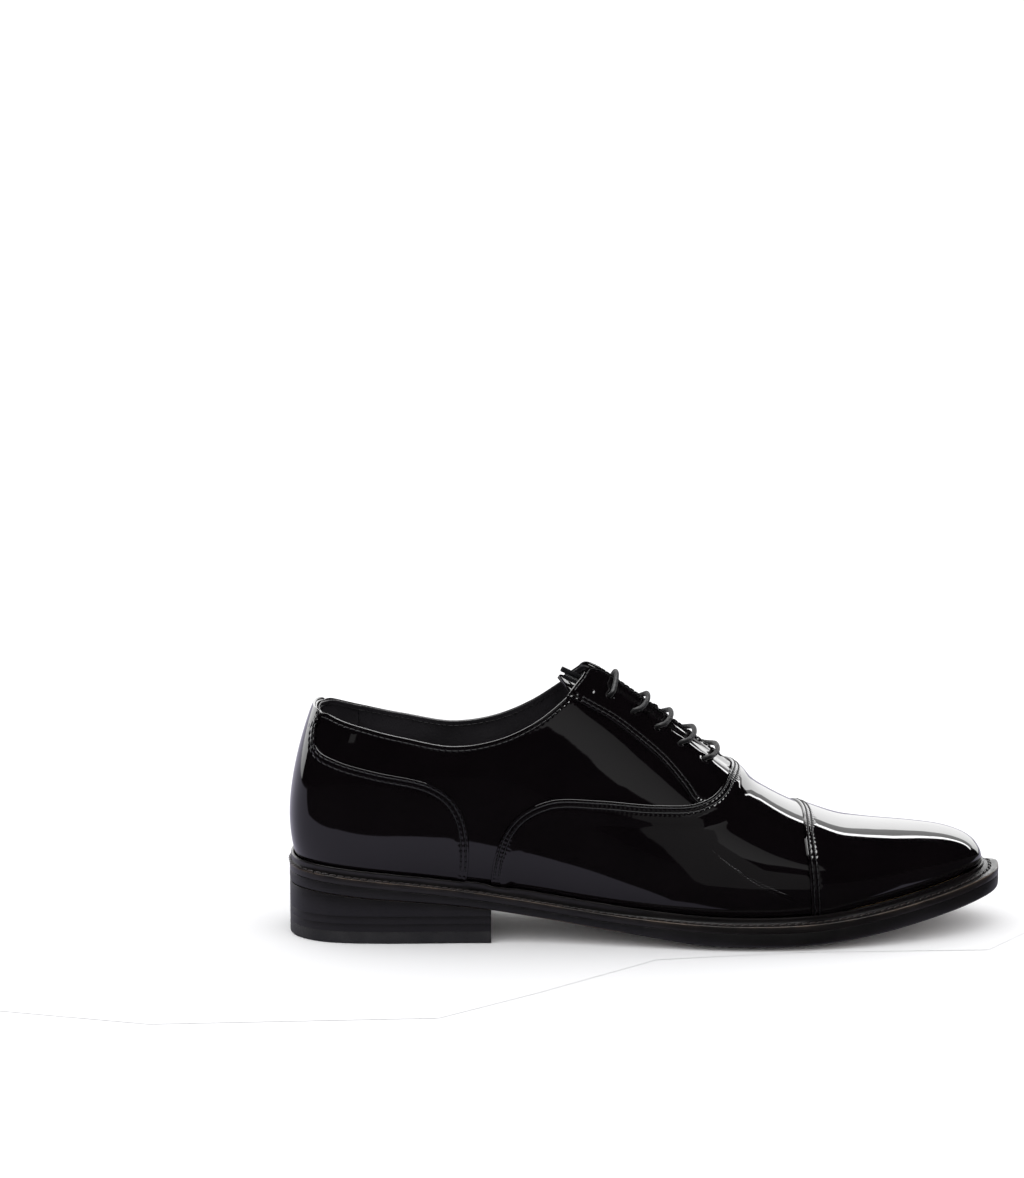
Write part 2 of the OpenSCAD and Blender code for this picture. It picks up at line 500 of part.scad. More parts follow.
toe_cap();
vamp();
quarter_lateral();
quarter_medial();
facing_lateral();
facing_medial();
counter_cover();
tongue();
tongue_lining();
toe_puff();
heel_stiffener();
vamp_lining();
quarter_lining_lateral();
quarter_lining_medial();
heel_grip();
insole();
sock_lining();
cork_filler();
shank();
welt();
outsole();
heel_wedge();
heel_lift_upper();
heel_lift_lower();
top_lift();
heel_nails();
lace();
aglets();
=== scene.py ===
import math

import bmesh
import bpy
import numpy as np
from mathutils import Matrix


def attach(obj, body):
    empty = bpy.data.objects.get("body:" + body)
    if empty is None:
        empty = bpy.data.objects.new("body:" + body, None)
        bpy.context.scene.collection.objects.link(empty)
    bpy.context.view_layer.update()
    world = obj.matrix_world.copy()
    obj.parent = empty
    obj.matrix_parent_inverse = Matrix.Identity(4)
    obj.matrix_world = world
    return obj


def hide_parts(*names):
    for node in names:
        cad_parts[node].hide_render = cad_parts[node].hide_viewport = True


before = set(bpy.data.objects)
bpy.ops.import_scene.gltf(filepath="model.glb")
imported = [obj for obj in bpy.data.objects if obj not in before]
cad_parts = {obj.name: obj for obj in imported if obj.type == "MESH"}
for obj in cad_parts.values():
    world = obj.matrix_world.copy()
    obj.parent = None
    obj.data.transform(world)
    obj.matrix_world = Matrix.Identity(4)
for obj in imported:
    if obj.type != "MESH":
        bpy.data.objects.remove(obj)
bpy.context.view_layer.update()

# ---- Insole and sock ---------------------------------------------------------------------------
# A firm undyed leather sole that the upper is lasted to, covered inside by a thin grey sock lining
# glued down over its whole length. Both follow the foot edge of the last, the form that the shoe is
# made on: a place on it is a station, counted from heel to toe, and a girth line, counted from the
# sole edge on the outer side (1) over the ridge (6) to the sole edge on the inner side (11).
MM = 0.001
STATIONS = [
    # x, z of sole edge, of widest line, of ridge, outer half-widths, inner half-widths, ridge y,
    # squareness, share of the heel's curve
    [-154, 29, 50, 114, 9, 11, 11, 9, 0, 0.05, 1],
    [-150, 29, 50, 114, 20, 23.5, 23, 19.5, 0, 0.05, 0.9],
    [-138, 28, 49, 115, 27.5, 31.5, 30.5, 26.5, 0, 0.06, 0.5],
    [-120, 26, 47, 118, 30, 34, 33, 28.5, 0, 0.07, 0.15],
    [-98, 24, 45, 122, 30, 35, 33.5, 27.5, 0, 0.08, 0],
    [-78, 21.5, 42, 127, 29.5, 35, 33, 25.5, 0, 0.08, 0],
    [-58, 18.5, 39, 128, 30, 35.5, 32, 23.5, 0, 0.06, 0],
    [-38, 15.5, 35, 123, 32, 37.5, 33, 24.5, 0, 0, 0],
    [-18, 13, 31, 110, 36, 40.5, 36, 29, 0, -0.04, 0],
    [2, 11.5, 28, 95.5, 40, 44, 41, 36, 0.3, -0.04, 0],
    [22, 10.5, 26, 80.5, 44.5, 48, 46, 42.5, 1, -0.03, 0],
    [42, 10.4, 25, 64.5, 46.5, 49.5, 48.5, 45.5, 2, 0, 0],
    [62, 10.8, 24.5, 52, 45.5, 48.5, 48.5, 46, 3, 0.03, 0],
    [80, 12.4, 25, 45.6, 42.5, 45, 46, 43.5, 4, 0.05, 0],
    [97, 15.2, 26.5, 43, 37.5, 40, 42.5, 40, 4.6, 0.06, 0],
    [112, 18, 28.5, 42, 31, 33.5, 37, 34.8, 5.2, 0.06, 0],
    [126, 21, 30, 41, 24, 27, 31, 28.5, 5.8, 0.06, 0],
    [138, 24, 30.5, 38.6, 14.5, 18, 23.5, 21, 6.2, 0.05, 0],
    [146.5, 26, 29, 33, 3.5, 6, 12, 9.5, 6.5, 0.04, 0]]
TOE_POINT = (6.6, 27)
HEEL_CURVE = (5.5, 4.2, 0, 4.5, 11.5, 20, 28)
SPLINE_GROWTH = 1.026
TURN_IN = 12
HEEL_END = -0.5
TOE_END = len(STATIONS) - 0.5
RIDGE = 6


def half_girth(station, side, width, edge_width):
    x, foot, mid, ridge, *_, ridge_y, square, heel = station
    points = [(x + heel * HEEL_CURVE[0], side * (edge_width - TURN_IN), foot - 1.5),
              (x + heel * HEEL_CURVE[1], side * edge_width, foot)]
    for i in range(4):
        angle = math.radians(22.5 * i)
        swell = 1 + square * math.sin(2 * angle) ** 2
        grow = 1.012 if i == 0 else SPLINE_GROWTH
        points.append((x + heel * HEEL_CURVE[2 + i],
                       ridge_y + (side * width - ridge_y) * math.cos(angle) * swell * grow,
                       mid + (ridge - mid) * math.sin(angle) * swell * SPLINE_GROWTH))
    return points


def girth(station):
    x, foot, mid, ridge, outer_foot, outer, inner, inner_foot, ridge_y, square, heel = station
    top = (x + heel * HEEL_CURVE[6], ridge_y, mid + (ridge - mid) * SPLINE_GROWTH)
    inner_half = half_girth(station, 1, inner, inner_foot)
    return half_girth(station, -1, outer, outer_foot) + [top] + inner_half[::-1]


def make_net():
    rows = np.array([girth(s) for s in STATIONS])
    behind = rows[[1, 0]] * (1, -1, 1)
    ahead = rows[[-1, -2]] * (1, -1, -1) + (0, 2 * TOE_POINT[0], 2 * TOE_POINT[1])
    return np.concatenate([behind, rows, ahead])


NET = make_net()


def spline_weights(f):
    near = 3 * f ** 3 - 6 * f ** 2 + 4
    far = -3 * f ** 3 + 3 * f ** 2 + 3 * f + 1
    return np.array([(1 - f) ** 3, near, far, f ** 3]) / 6


def on_last(station, line):
    """Points of the last, in millimetres. A station behind the heel comes back along the other side."""
    t, v = np.broadcast_arrays(np.asarray(station, float), np.asarray(line, float))
    behind = t < HEEL_END
    t = np.where(behind, 2 * HEEL_END - t, np.minimum(t, TOE_END))
    v = np.where(behind, 2 * RIDGE - v, v)
    row = np.clip(np.floor(t + 2).astype(int), 1, len(NET) - 3)
    col = np.clip(np.floor(v).astype(int), 1, 10)
    down = spline_weights(t + 2 - row)
    across = spline_weights(v - col)
    total = 0
    for i in range(4):
        for j in range(4):
            total = total + (down[i] * across[j])[..., None] * NET[row - 1 + i, col - 1 + j]
    return total


def unit(vectors):
    return vectors / np.maximum(np.linalg.norm(vectors, axis=-1, keepdims=True), 1e-9)


def solid(name, points, faces, wear_and_highlight=None):
    """A mesh object from points in millimetres, doubles merged; the optional mask, one value a point,
    marks where the colour turns paler for wear and a painted highlight.
    """
    mesh = bpy.data.meshes.new(name)
    mesh.from_pydata((np.asarray(points) * MM).tolist(), [], [list(map(int, f)) for f in faces])
    if wear_and_highlight is not None:
        mask = mesh.attributes.new("wear_and_highlight", "FLOAT", "POINT")
        mask.data.foreach_set("value", np.asarray(wear_and_highlight, np.float32))
    mesh.validate()
    obj = bpy.data.objects.new(name, mesh)
    bpy.context.scene.collection.objects.link(obj)
    weld = obj.modifiers.new("weld", "WELD")
    weld.merge_threshold = 1e-6
    apply_modifiers(obj)
    obj.data.shade_smooth()
    return obj


def apply_modifiers(obj):
    shape = bpy.data.meshes.new_from_object(obj.evaluated_get(bpy.context.evaluated_depsgraph_get()))
    old = obj.data
    obj.modifiers.clear()
    obj.data = shape
    shape.name = obj.name
    bpy.data.meshes.remove(old)


def dress(obj, material, body="shoe", node=()):
    """Gives a finished piece its material and its body, and hides the CAD nodes that it stands for."""
    obj.data.materials.clear()
    obj.data.materials.append(material)
    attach(obj, body)
    if node:
        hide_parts(*node)


def value_at(station, pairs):
    return np.interp(station, [p[0] for p in pairs], [p[1] for p in pairs])


def edge_station(u):
    """Station of a place round the sole: 0 at the heel, 1 at the toe, back to 2 on the inner side."""
    h = np.abs(u)
    h = np.where(h > 1, 2 - h, h)
    return HEEL_END + (TOE_END - HEEL_END) * (0.4 * (0.5 - 0.5 * np.cos(math.pi * h)) + 0.6 * h)


def edge_point(u):
    return on_last(edge_station(u), np.where((u < 0) | (u > 1), 11, 1))


def edge_out(u):
    d = edge_point(u + 0.004) - edge_point(u - 0.004)
    return unit(np.stack([d[:, 1], -d[:, 0], 0 * d[:, 0]], 1))


class Rim:
    """Places round the sole, evenly spaced, with the direction straight out of the edge at each."""

    def __init__(self, count, first=0.0, last=2.0):
        whole = abs(last - first - 2) < 1e-6
        fine = np.linspace(first, last, 4000)
        run = np.concatenate([[0], np.cumsum(np.linalg.norm(np.diff(edge_point(fine), axis=0), axis=1))])
        steps = np.linspace(0, run[-1], count + 1)[:-1] if whole else np.linspace(0, run[-1], count)
        self.u = np.interp(steps, run, fine)
        self.run, self.length = steps, run[-1]
        self.t = edge_station(self.u)
        self.point, self.out = edge_point(self.u), edge_out(self.u)
        self.whole = whole

    def ring(self, margin, height):
        """Points at a distance outside the last's edge and a height above it, as lists or numbers."""
        m = value_at(self.t, margin) if isinstance(margin, list) else margin
        h = value_at(self.t, height) if isinstance(height, list) else height
        up = np.zeros_like(self.point)
        up[:, 2] = h
        return self.point + self.out * np.broadcast_to(m, self.t.shape)[:, None] + up


def quads(rows, count, first=0, closed=True):
    """Faces between rows of count points each."""
    return [[first + r * count + i, first + r * count + (i + 1) % count,
             first + (r + 1) * count + (i + 1) % count, first + (r + 1) * count + i]
            for r in range(rows - 1) for i in range(count if closed else count - 1)]


def flank(rings, bulge_top, bulge_bottom, across=14):
    """A flat body closed over the foot: rings run round it from its top edge to its bottom edge."""
    count = len(rings[0])
    points = np.concatenate(rings)
    faces = quads(len(rings), count)
    half = count // 2
    for ring_no, bulge, turn in ((0, bulge_top, 1), (len(rings) - 1, bulge_bottom, -1)):
        ring = rings[ring_no]
        share = np.linspace(0, 1, across + 1)[1:-1]
        left, right = ring[np.arange(1, half)], ring[(count - np.arange(1, half)) % count]
        inner = left[:, None] * (1 - share)[None, :, None] + right[:, None] * share[None, :, None]
        width = np.linalg.norm(left - right, axis=1)
        inner[..., 2] += (bulge * np.clip(width / 30, 0, 1))[:, None] * (4 * share * (1 - share))[None]
        start = len(points)
        points = np.concatenate([points, inner.reshape(-1, 3)])
        k = across - 1
        base = ring_no * count
        for i in range(half - 1):
            row = [base + i + 1] + [start + i * k + j for j in range(k)] + [base + count - i - 1]
            if i < half - 2:
                ahead = [base + i + 2] + [start + (i + 1) * k + j for j in range(k)]
                ahead.append(base + count - i - 2)
                faces += [[row[j], row[j + 1], ahead[j + 1], ahead[j]][::turn] for j in range(k + 1)]
        heel_row = [base + 1] + [start + j for j in range(k)] + [base + count - 1]
        toe_row = [base + half - 1] + [start + (half - 2) * k + j for j in range(k)] + [base + half + 1]
        faces.append(([base] + heel_row[::-1])[::turn])
        faces.append((toe_row + [base + half])[::turn])
    return points, faces


def finish_node(name, material):
    """A CAD node that keeps its own shape gets its material."""
    bpy.data.objects[name].data.materials.clear()
    bpy.data.objects[name].data.materials.append(material)


def turn_outward(obj):
    """Points all faces of a closed mesh outwards."""
    bm = bmesh.new()
    bm.from_mesh(obj.data)
    bmesh.ops.recalc_face_normals(bm, faces=bm.faces)
    bm.to_mesh(obj.data)
    bm.free()


def node(tree, kind, **values):
    """A shader node; values go to its sockets by name or to its settings."""
    made = tree.nodes.new(kind)
    for key, value in values.items():
        if hasattr(made, key):
            setattr(made, key, value)
        else:
            made.inputs[key.replace("_", " ")].default_value = value
    return made


def new_material(name):
    material = bpy.data.materials.new(name)
    material.use_nodes = True
    tree = material.node_tree
    tree.nodes.clear()
    shader = tree.nodes.new("ShaderNodeBsdfPrincipled")
    out = tree.nodes.new("ShaderNodeOutputMaterial")
    tree.links.new(shader.outputs["BSDF"], out.inputs["Surface"])
    where = tree.nodes.new("ShaderNodeTexCoord")
    return material, tree, shader, where.outputs["Object"]


def make_grain_group():
    """Mottle and grain: a mask that wanders over the surface, and a height for the bump."""
    group = bpy.data.node_groups.new("Mottle and grain", "ShaderNodeTree")
    face = group.interface
    face.new_socket("Vector", in_out="INPUT", socket_type="NodeSocketVector")
    for name, start in (("Mottle size", 40.0), ("Grain size", 900.0), ("Grain share", 0.5)):
        face.new_socket(name, in_out="INPUT", socket_type="NodeSocketFloat").default_value = start
    face.new_socket("Mottle", in_out="OUTPUT", socket_type="NodeSocketFloat")
    face.new_socket("Height", in_out="OUTPUT", socket_type="NodeSocketFloat")
    inp, out = group.nodes.new("NodeGroupInput"), group.nodes.new("NodeGroupOutput")
    link = group.links.new
    mottle = node(group, "ShaderNodeTexNoise", Detail=3.0, Roughness=0.55)
    fine = node(group, "ShaderNodeTexNoise", Detail=2.0, Roughness=0.5)
    pores = node(group, "ShaderNodeTexVoronoi", feature="SMOOTH_F1")
    mix = node(group, "ShaderNodeMix", data_type="FLOAT")
    for tex, size in ((mottle, "Mottle size"), (fine, "Grain size"), (pores, "Grain size")):
        link(inp.outputs["Vector"], tex.inputs["Vector"])
        link(inp.outputs[size], tex.inputs["Scale"])
    link(inp.outputs["Grain share"], mix.inputs["Factor"])
    link(fine.outputs["Fac"], mix.inputs["A"])
    link(pores.outputs["Distance"], mix.inputs["B"])
    link(mottle.outputs["Fac"], out.inputs["Mottle"])
    link(mix.outputs["Result"], out.inputs["Height"])
    return group


GRAIN = make_grain_group()


def grained(name, dark, light, rough_low, rough_high, mottle, grain, share, bump, depth):
    """A material whose colour and roughness wander, with a fine grain in relief, and its shader."""
    material, tree, shader, where = new_material(name)
    link = tree.links.new
    effect = tree.nodes.new("ShaderNodeGroup")
    effect.node_tree = GRAIN
    effect.inputs["Mottle size"].default_value = mottle
    effect.inputs["Grain size"].default_value = grain
    effect.inputs["Grain share"].default_value = share
    link(where, effect.inputs["Vector"])
    tint = tree.nodes.new("ShaderNodeValToRGB")
    tint.color_ramp.elements[0].position, tint.color_ramp.elements[1].position = 0.32, 0.68
    tint.color_ramp.elements[0].color = (*dark, 1)
    tint.color_ramp.elements[1].color = (*light, 1)
    link(effect.outputs["Mottle"], tint.inputs["Fac"])
    link(tint.outputs["Color"], shader.inputs["Base Color"])
    rough = node(tree, "ShaderNodeMapRange")
    rough.inputs["To Min"].default_value, rough.inputs["To Max"].default_value = rough_low, rough_high
    link(effect.outputs["Mottle"], rough.inputs["Value"])
    link(rough.outputs["Result"], shader.inputs["Roughness"])
    relief = node(tree, "ShaderNodeBump", Strength=bump, Distance=depth)
    link(effect.outputs["Height"], relief.inputs["Height"])
    link(relief.outputs["Normal"], shader.inputs["Normal"])
    return material, shader


insole_leather = grained("Insole leather", (0.42, 0.27, 0.15), (0.62, 0.44, 0.28), 0.55, 0.7,
                         60, 1500, 0.4, 0.6, 0.0004)[0]
sock_leather = grained("Sock lining leather", (0.016, 0.015, 0.018), (0.03, 0.028, 0.033), 0.5, 0.62,
                       50, 1800, 0.5, 0.5, 0.0003)[0]
finish_node("insole", insole_leather)

SOCK_IN = -3.2          # the sock stops short of the last's edge
rim = Rim(260)
points, faces = flank([rim.ring(SOCK_IN - 0.5, 1.72), rim.ring(SOCK_IN, 1.5), rim.ring(SOCK_IN, 1.05)],
                      -0.5, -0.5)
sock = solid("sock", points, faces)
turn_outward(sock)
dress(sock, sock_leather, node=["sock_lining"])

# ---- Linings -----------------------------------------------------------------------------------
# Thin dark grey leather sewn in along the top edge and cemented below: two quarter linings, a
# grip piece over the inside of the heel with its own sewn side seams, and a vamp lining.
SKIN = 1.2              # thickness of the upper leather
LINING = 0.7
STITCH = 2.6            # length of one stitch, in millimetres, as all the sizes below
COLUMNS_PER_STITCH = 5
TOPLINE = [(-0.5, 3.99), (0, 3.99), (0.5, 3.97), (1, 3.94), (1.6, 3.9), (2.6, 3.67), (3.6, 3.43),
           (4.7, 3.25), (5.7, 3.37), (6.5, 3.74), (7.1, 4.33), (7.42, 4.95), (7.55, 5.35), (7.72, 5.66),
           (7.95, 5.82)]
LACE_EDGE = [(8.3, 5.87), (8.9, 5.88), (9.7, 5.91), (10.6, 5.94)]
LINING_FOOT = [(2.55, 1.1), (3.6, 1.1), (4.6, 1.1), (5.6, 1.3), (6.5, 2), (7.4, 2.6), (8.4, 2.9),
               (9.4, 3.2), (10.2, 3.8), (10.6, 4.7)]
LINING_TOP = [(2.4, 3.71)] + [p for p in TOPLINE if p[0] > 2.5] + LACE_EDGE
EYELETS = [10.05 - 0.5 * k for k in range(5)]
HOLE_D = 2.9


def slopes(station, line):
    """How a point of the last moves with the station and with the girth line."""
    e = 0.01
    t = np.minimum(station, TOE_END - 0.04)
    v = np.clip(line, 1 + e, 11 - e)
    along = (on_last(t + e, v) - on_last(t - e, v)) / (2 * e)
    across = (on_last(t, v + e) - on_last(t, v - e)) / (2 * e)
    return along, across


def outward(station, line):
    along, across = slopes(station, line)
    normal = unit(np.cross(along, across))
    near_tip = np.clip((TOE_END - np.asarray(station, float)) / 0.05, 0, 1)[..., None]
    return unit(near_tip * normal + (1 - near_tip) * np.array([1.0, 0, 0]))


def smooth_line(points, count):
    """count points along a smooth curve through a few points."""
    p = np.array(points, float)
    u = np.linspace(0, len(p) - 1, count)
    i = np.minimum(u.astype(int), len(p) - 2)
    f = (u - i)[:, None]
    a, b, c, d = p[np.maximum(i - 1, 0)], p[i], p[i + 1], p[np.minimum(i + 2, len(p) - 1)]
    bend = (2 * a - 5 * b + 4 * c - d) * f ** 2
    twist = (3 * b - a - 3 * c + d) * f ** 3
    return 0.5 * (2 * b + (c - a) * f + bend + twist)


def even_line(points, count):
    """count points along that curve, equally far apart on the last, and its length."""
    fine = smooth_line(points, 1200)
    steps = np.linalg.norm(np.diff(on_last(fine[:, 0], fine[:, 1]), axis=0), axis=1)
    run = np.concatenate([[0], np.cumsum(steps)])
    want = np.linspace(0, run[-1], count)
    return np.stack([np.interp(want, run, fine[:, 0]), np.interp(want, run, fine[:, 1])], 1), run[-1]


def step_inwards(edge, towards):
    """For each point of an edge, the move on the last that goes 1 mm square away from it."""
    along, across = slopes(edge[:, 0], edge[:, 1])
    tangent = np.gradient(on_last(edge[:, 0], edge[:, 1]), axis=0)
    square = unit(np.cross(outward(edge[:, 0], edge[:, 1]), tangent))
    gap = towards - edge
    way = along * gap[:, :1] + across * gap[:, 1:]
    if np.median(np.sum(square * way, axis=1)) < 0:
        square = -square
    aa, ab, bb = np.sum(along * along, 1), np.sum(along * across, 1), np.sum(across * across, 1)
    sa, sb = np.sum(square * along, 1), np.sum(square * across, 1)
    det = np.maximum(aa * bb - ab * ab, 1e-6)
    return np.stack([(sa * bb - sb * ab) / det, (sb * aa - sa * ab) / det], 1)


def fall(distance, start, end):
    """1 before start, 0 past end, and smooth between."""
    f = np.clip((distance - start) / (end - start), 0, 1)
    return 1 - f * f * (3 - 2 * f)


def rolled(distance, radius):
    """How far a rounded edge lies below the face."""
    f = np.clip(radius - distance, 0, radius)
    return radius - np.sqrt(radius ** 2 - f ** 2)


def sewn(distance, row, stitch_phase, depth=0.3, width=0.45):
    """The dent of a row of stitches, deepest at the needle holes."""
    dent = np.exp(-((distance - row) / width) ** 2)
    return depth * dent * (0.25 + 1.3 * np.cos(math.pi * (stitch_phase + 0.5)) ** 4)


class Piece:
    """A cut piece of leather: face and back give the lift of its two sides from
    (distance from edge a, distance from edge b, stitch count, station, girth)."""

    def __init__(self, name, edge_a, edge_b, face, back, rows_a=(), rows_b=(), middle=12, columns=None,
                 visible="face"):
        to_pole = edge_b == "toe"
        length = max(even_line(edge, 3)[1] for edge in ([edge_a] if to_pole else [edge_a, edge_b]))
        self.stitches = int(round(length / STITCH))
        count = columns or self.stitches * COLUMNS_PER_STITCH + 1
        a = even_line(edge_a, count)[0]
        b = np.stack([0 * a[:, 0] + TOE_END, a[:, 1]], 1) if to_pole else even_line(edge_b, count)[0]
        width = np.linalg.norm(on_last(a[:, 0], a[:, 1]) - on_last(b[:, 0], b[:, 1]), axis=1)
        room = 0.45 * width[:, None]
        step_a, step_b = step_inwards(a, b), 0 * b if to_pole else step_inwards(b, a)
        self.rows_a, self.rows_b = [0] + list(rows_a), [0] + list(rows_b)
        reach_a, reach_b = (max(self.rows_a) or 1), (max(self.rows_b) or 1)
        first = [a + d * np.minimum(1, room / reach_a) * step_a for d in self.rows_a]
        last = [b + d * np.minimum(1, room / reach_b) * step_b for d in self.rows_b][::-1]
        shares = np.linspace(0, 1, middle + 2)[1:-1]
        grid = np.array(first + [(1 - s) * first[-1] + s * last[0] for s in shares] + last)
        grid[..., 1] = np.clip(grid[..., 1], 0.9, 11.1)
        self.grid = grid
        t, v = grid[..., 0], grid[..., 1]
        self.base, self.normal = on_last(t, v), outward(t, v)
        run = np.cumsum(np.linalg.norm(np.diff(self.base, axis=0), axis=2), axis=0)
        from_a = np.concatenate([np.zeros((1, count)), run])
        from_b = from_a[-1] - from_a
        self.from_a = from_a
        phase = np.broadcast_to(np.linspace(0, self.stitches, count), t.shape)
        self.face = self.base + self.normal * face(from_a, from_b, phase, t, v)[..., None]
        self.back = self.base + self.normal * back(from_a, from_b, phase, t, v)[..., None]
        self.obj = self.make(name, visible)

    def make(self, name, visible):
        rows, cols = self.grid.shape[:2]
        shown, hidden = (self.face, self.back) if visible == "face" else (self.back, self.face)
        kept = sorted(set(range(0, rows, 4)) | {rows - 1})
        front = np.arange(rows * cols).reshape(rows, cols)
        rear = rows * cols + np.arange(len(kept) * cols).reshape(len(kept), cols)
        faces = [[front[i, j], front[i, j + 1], front[i + 1, j + 1], front[i + 1, j]]
                 for i in range(rows - 1) for j in range(cols - 1)]
        faces += [[rear[i, j], rear[i + 1, j], rear[i + 1, j + 1], rear[i, j + 1]]
                  for i in range(len(kept) - 1) for j in range(cols - 1)]
        for r, q, turn in ((0, 0, 1), (rows - 1, len(kept) - 1, -1)):
            faces += [[front[r, j], rear[q, j], rear[q, j + 1], front[r, j + 1]][::turn]
                      for j in range(cols - 1)]
        for c, turn in ((0, -1), (cols - 1, 1)):
            for k in range(len(kept) - 1):
                side = [front[i, c] for i in range(kept[k], kept[k + 1] + 1)]
                faces.append(([rear[k, c]] + side + [rear[k + 1, c]])[::turn])
        points = np.concatenate([shown.reshape(-1, 3), hidden[kept].reshape(-1, 3)])
        mid_r, mid_c = rows // 2, cols // 2
        da = self.grid[mid_r, mid_c + 1] - self.grid[mid_r, mid_c - 1]
        db = self.grid[mid_r + 1, mid_c] - self.grid[mid_r - 1, mid_c]
        if (da[0] * db[1] < da[1] * db[0]) == (visible == "face"):
            faces = [f[::-1] for f in faces]
        return solid(name, points, faces)

    def row(self, distance, edge="a", inside=False, lift=0.0):
        """One row of the grid and its outward directions, to sew along."""
        i = self.rows_a.index(distance) if edge == "a" else -1 - self.rows_b.index(distance)
        sign = -1 if inside else 1
        normal = self.normal[i] * sign
        return (self.back if inside else self.face)[i] + normal * lift, normal


def other_side(points):
    """The same line on the inner side of the foot."""
    return [(t, 2 * RIDGE - v) for t, v in points]


def over_the_ridge(points):
    return list(points) + other_side(points[:-1])[::-1]


def round_the_heel(points):
    return list(points) + [(2 * HEEL_END - t, v) for t, v in points][::-1]


def lining_lift(from_top):
    """The lining lies against the quarter at the top and gives way to the stiffener lower down."""
    return -(SKIN + 0.05) - 1.1 * (1 - fall(from_top, 2, 12))


def lining_face(a, b, phase, t, v):
    return lining_lift(b) - rolled(b, 0.15)


def lining_back(a, b, phase, t, v):
    return lining_lift(b) - LINING + rolled(b, 0.3) + sewn(b, 2, phase, 0.1)


def drill(obj, places, directions, width, sides, reach):
    """Cuts round holes through a piece."""
    turns = np.linspace(0, 2 * math.pi, sides + 1)[:-1]
    cutters = []
    for place, way in zip(places, directions):
        a = unit(np.cross(way, [1.0, 0.2, 0.1]))
        ring = width / 2 * (np.cos(turns)[:, None] * a + np.sin(turns)[:, None] * np.cross(way, a))
        points = np.concatenate([place + ring - reach * way, place + ring + reach * way])
        faces = quads(2, sides) + [list(range(sides))[::-1], list(range(sides, 2 * sides))]
        cutters.append(solid("cutter", points, faces))
    for cutter in cutters:
        turn_outward(cutter)
        cut = obj.modifiers.new("hole", "BOOLEAN")
        cut.operation, cut.solver, cut.object = "DIFFERENCE", "EXACT", cutter
    apply_modifiers(obj)
    for cutter in cutters:
        mesh = cutter.data
        bpy.data.objects.remove(cutter)
        bpy.data.meshes.remove(mesh)


def punch(obj, side):
    """Cuts the lace holes of one side through a piece."""
    t, v = np.array(EYELETS), np.full(5, RIDGE + side)
    drill(obj, on_last(t, v), outward(t, v), HOLE_D, 24, 5)


lining_leather = grained("Lining leather", (0.012, 0.0105, 0.0135), (0.023, 0.0205, 0.025), 0.42, 0.55,
                         45, 1600, 0.6, 0.5, 0.0003)[0]
near_edge, near_foot = [0.15, 0.35, 0.7, 1.3, 1.7, 2.0, 2.3, 2.8, 4], [0.5, 1.5]
pieces = {}
for name, mirror, side in (("lateral", list, -1), ("medial", other_side, 1)):
    piece = Piece("quarter_lining_" + name + "_leather", mirror(LINING_FOOT), mirror(LINING_TOP),
                  lining_face, lining_back, near_foot, near_edge, middle=16, visible="back")
    punch(piece.obj, side)
    dress(piece.obj, lining_leather, node=["quarter_lining_" + name])
    pieces["lining_" + name] = piece

GRIP_FOOT = round_the_heel([(2.75, 1.1), (1.7, 1.1), (0.6, 1.1)])
GRIP_TOP = round_the_heel([(2.65, 3.66), (1.6, 3.9), (0.8, 3.95), (0.2, 3.98)])


def grip_face(a, b, phase, t, v):
    return lining_lift(b) - LINING + 0.05 - 1.0 * (1 - fall(b, 6, 14))


def grip_back(a, b, phase, t, v):
    return grip_face(a, b, phase, t, v) - 0.6 + rolled(b, 0.3) + sewn(b, 2, phase, 0.1)


grip = Piece("heel_grip_leather", GRIP_FOOT, GRIP_TOP, grip_face, grip_back, near_foot, near_edge,
             middle=16, visible="back")
dress(grip.obj, lining_leather, node=["heel_grip"])

VAMP_LINING_EDGE = [(5.65, 1.15), (6.55, 1.87), (7.5, 2.5), (8.5, 2.8), (9.5, 3.1), (10.3, 3.7),
                    (10.72, 4.7), (10.8, 6)]
vamp_lining = Piece("vamp_lining_leather", over_the_ridge(VAMP_LINING_EDGE), "toe",
                    lambda a, b, phase, t, v: -2.4 + 0 * a, lambda a, b, phase, t, v: -3.1 + 0 * a,
                    [0.5, 2], middle=24, columns=161, visible="back")
dress(vamp_lining.obj, lining_leather, node=["vamp_lining"])

# ---- Stiffeners --------------------------------------------------------------------------------
# Starched board between lining and upper, in the toe and round the heel. They keep the shoe's shape
# and are wholly hidden, so they stay as they were made and only get their coarse pressed finish.
stiffener = grained("Stiffener board", (0.48, 0.38, 0.25), (0.66, 0.55, 0.4), 0.75, 0.9, 90, 2200, 0.3,
                    0.8, 0.0004)[0]
for name in ("toe_puff", "heel_stiffener"):
    finish_node(name, stiffener)

# ---- Tongue ------------------------------------------------------------------------------------
# A patent leather tongue with a grey leather lining, sewn under the throat and loose above it. It
# moves on its own body, so both its layers ride on that.
TONGUE_EDGE = [(11.1, 5), (10, 4.7), (8.8, 4.55), (8, 4.5), (7.55, 4.75), (7.35, 5.3), (7.3, 6)]
TONGUE_LIFT = -6.5      # it lies this far inside the last
TONGUE_SAG = 4.5        # how fast its loose end sinks behind SAG_START
SAG_START = 8.3


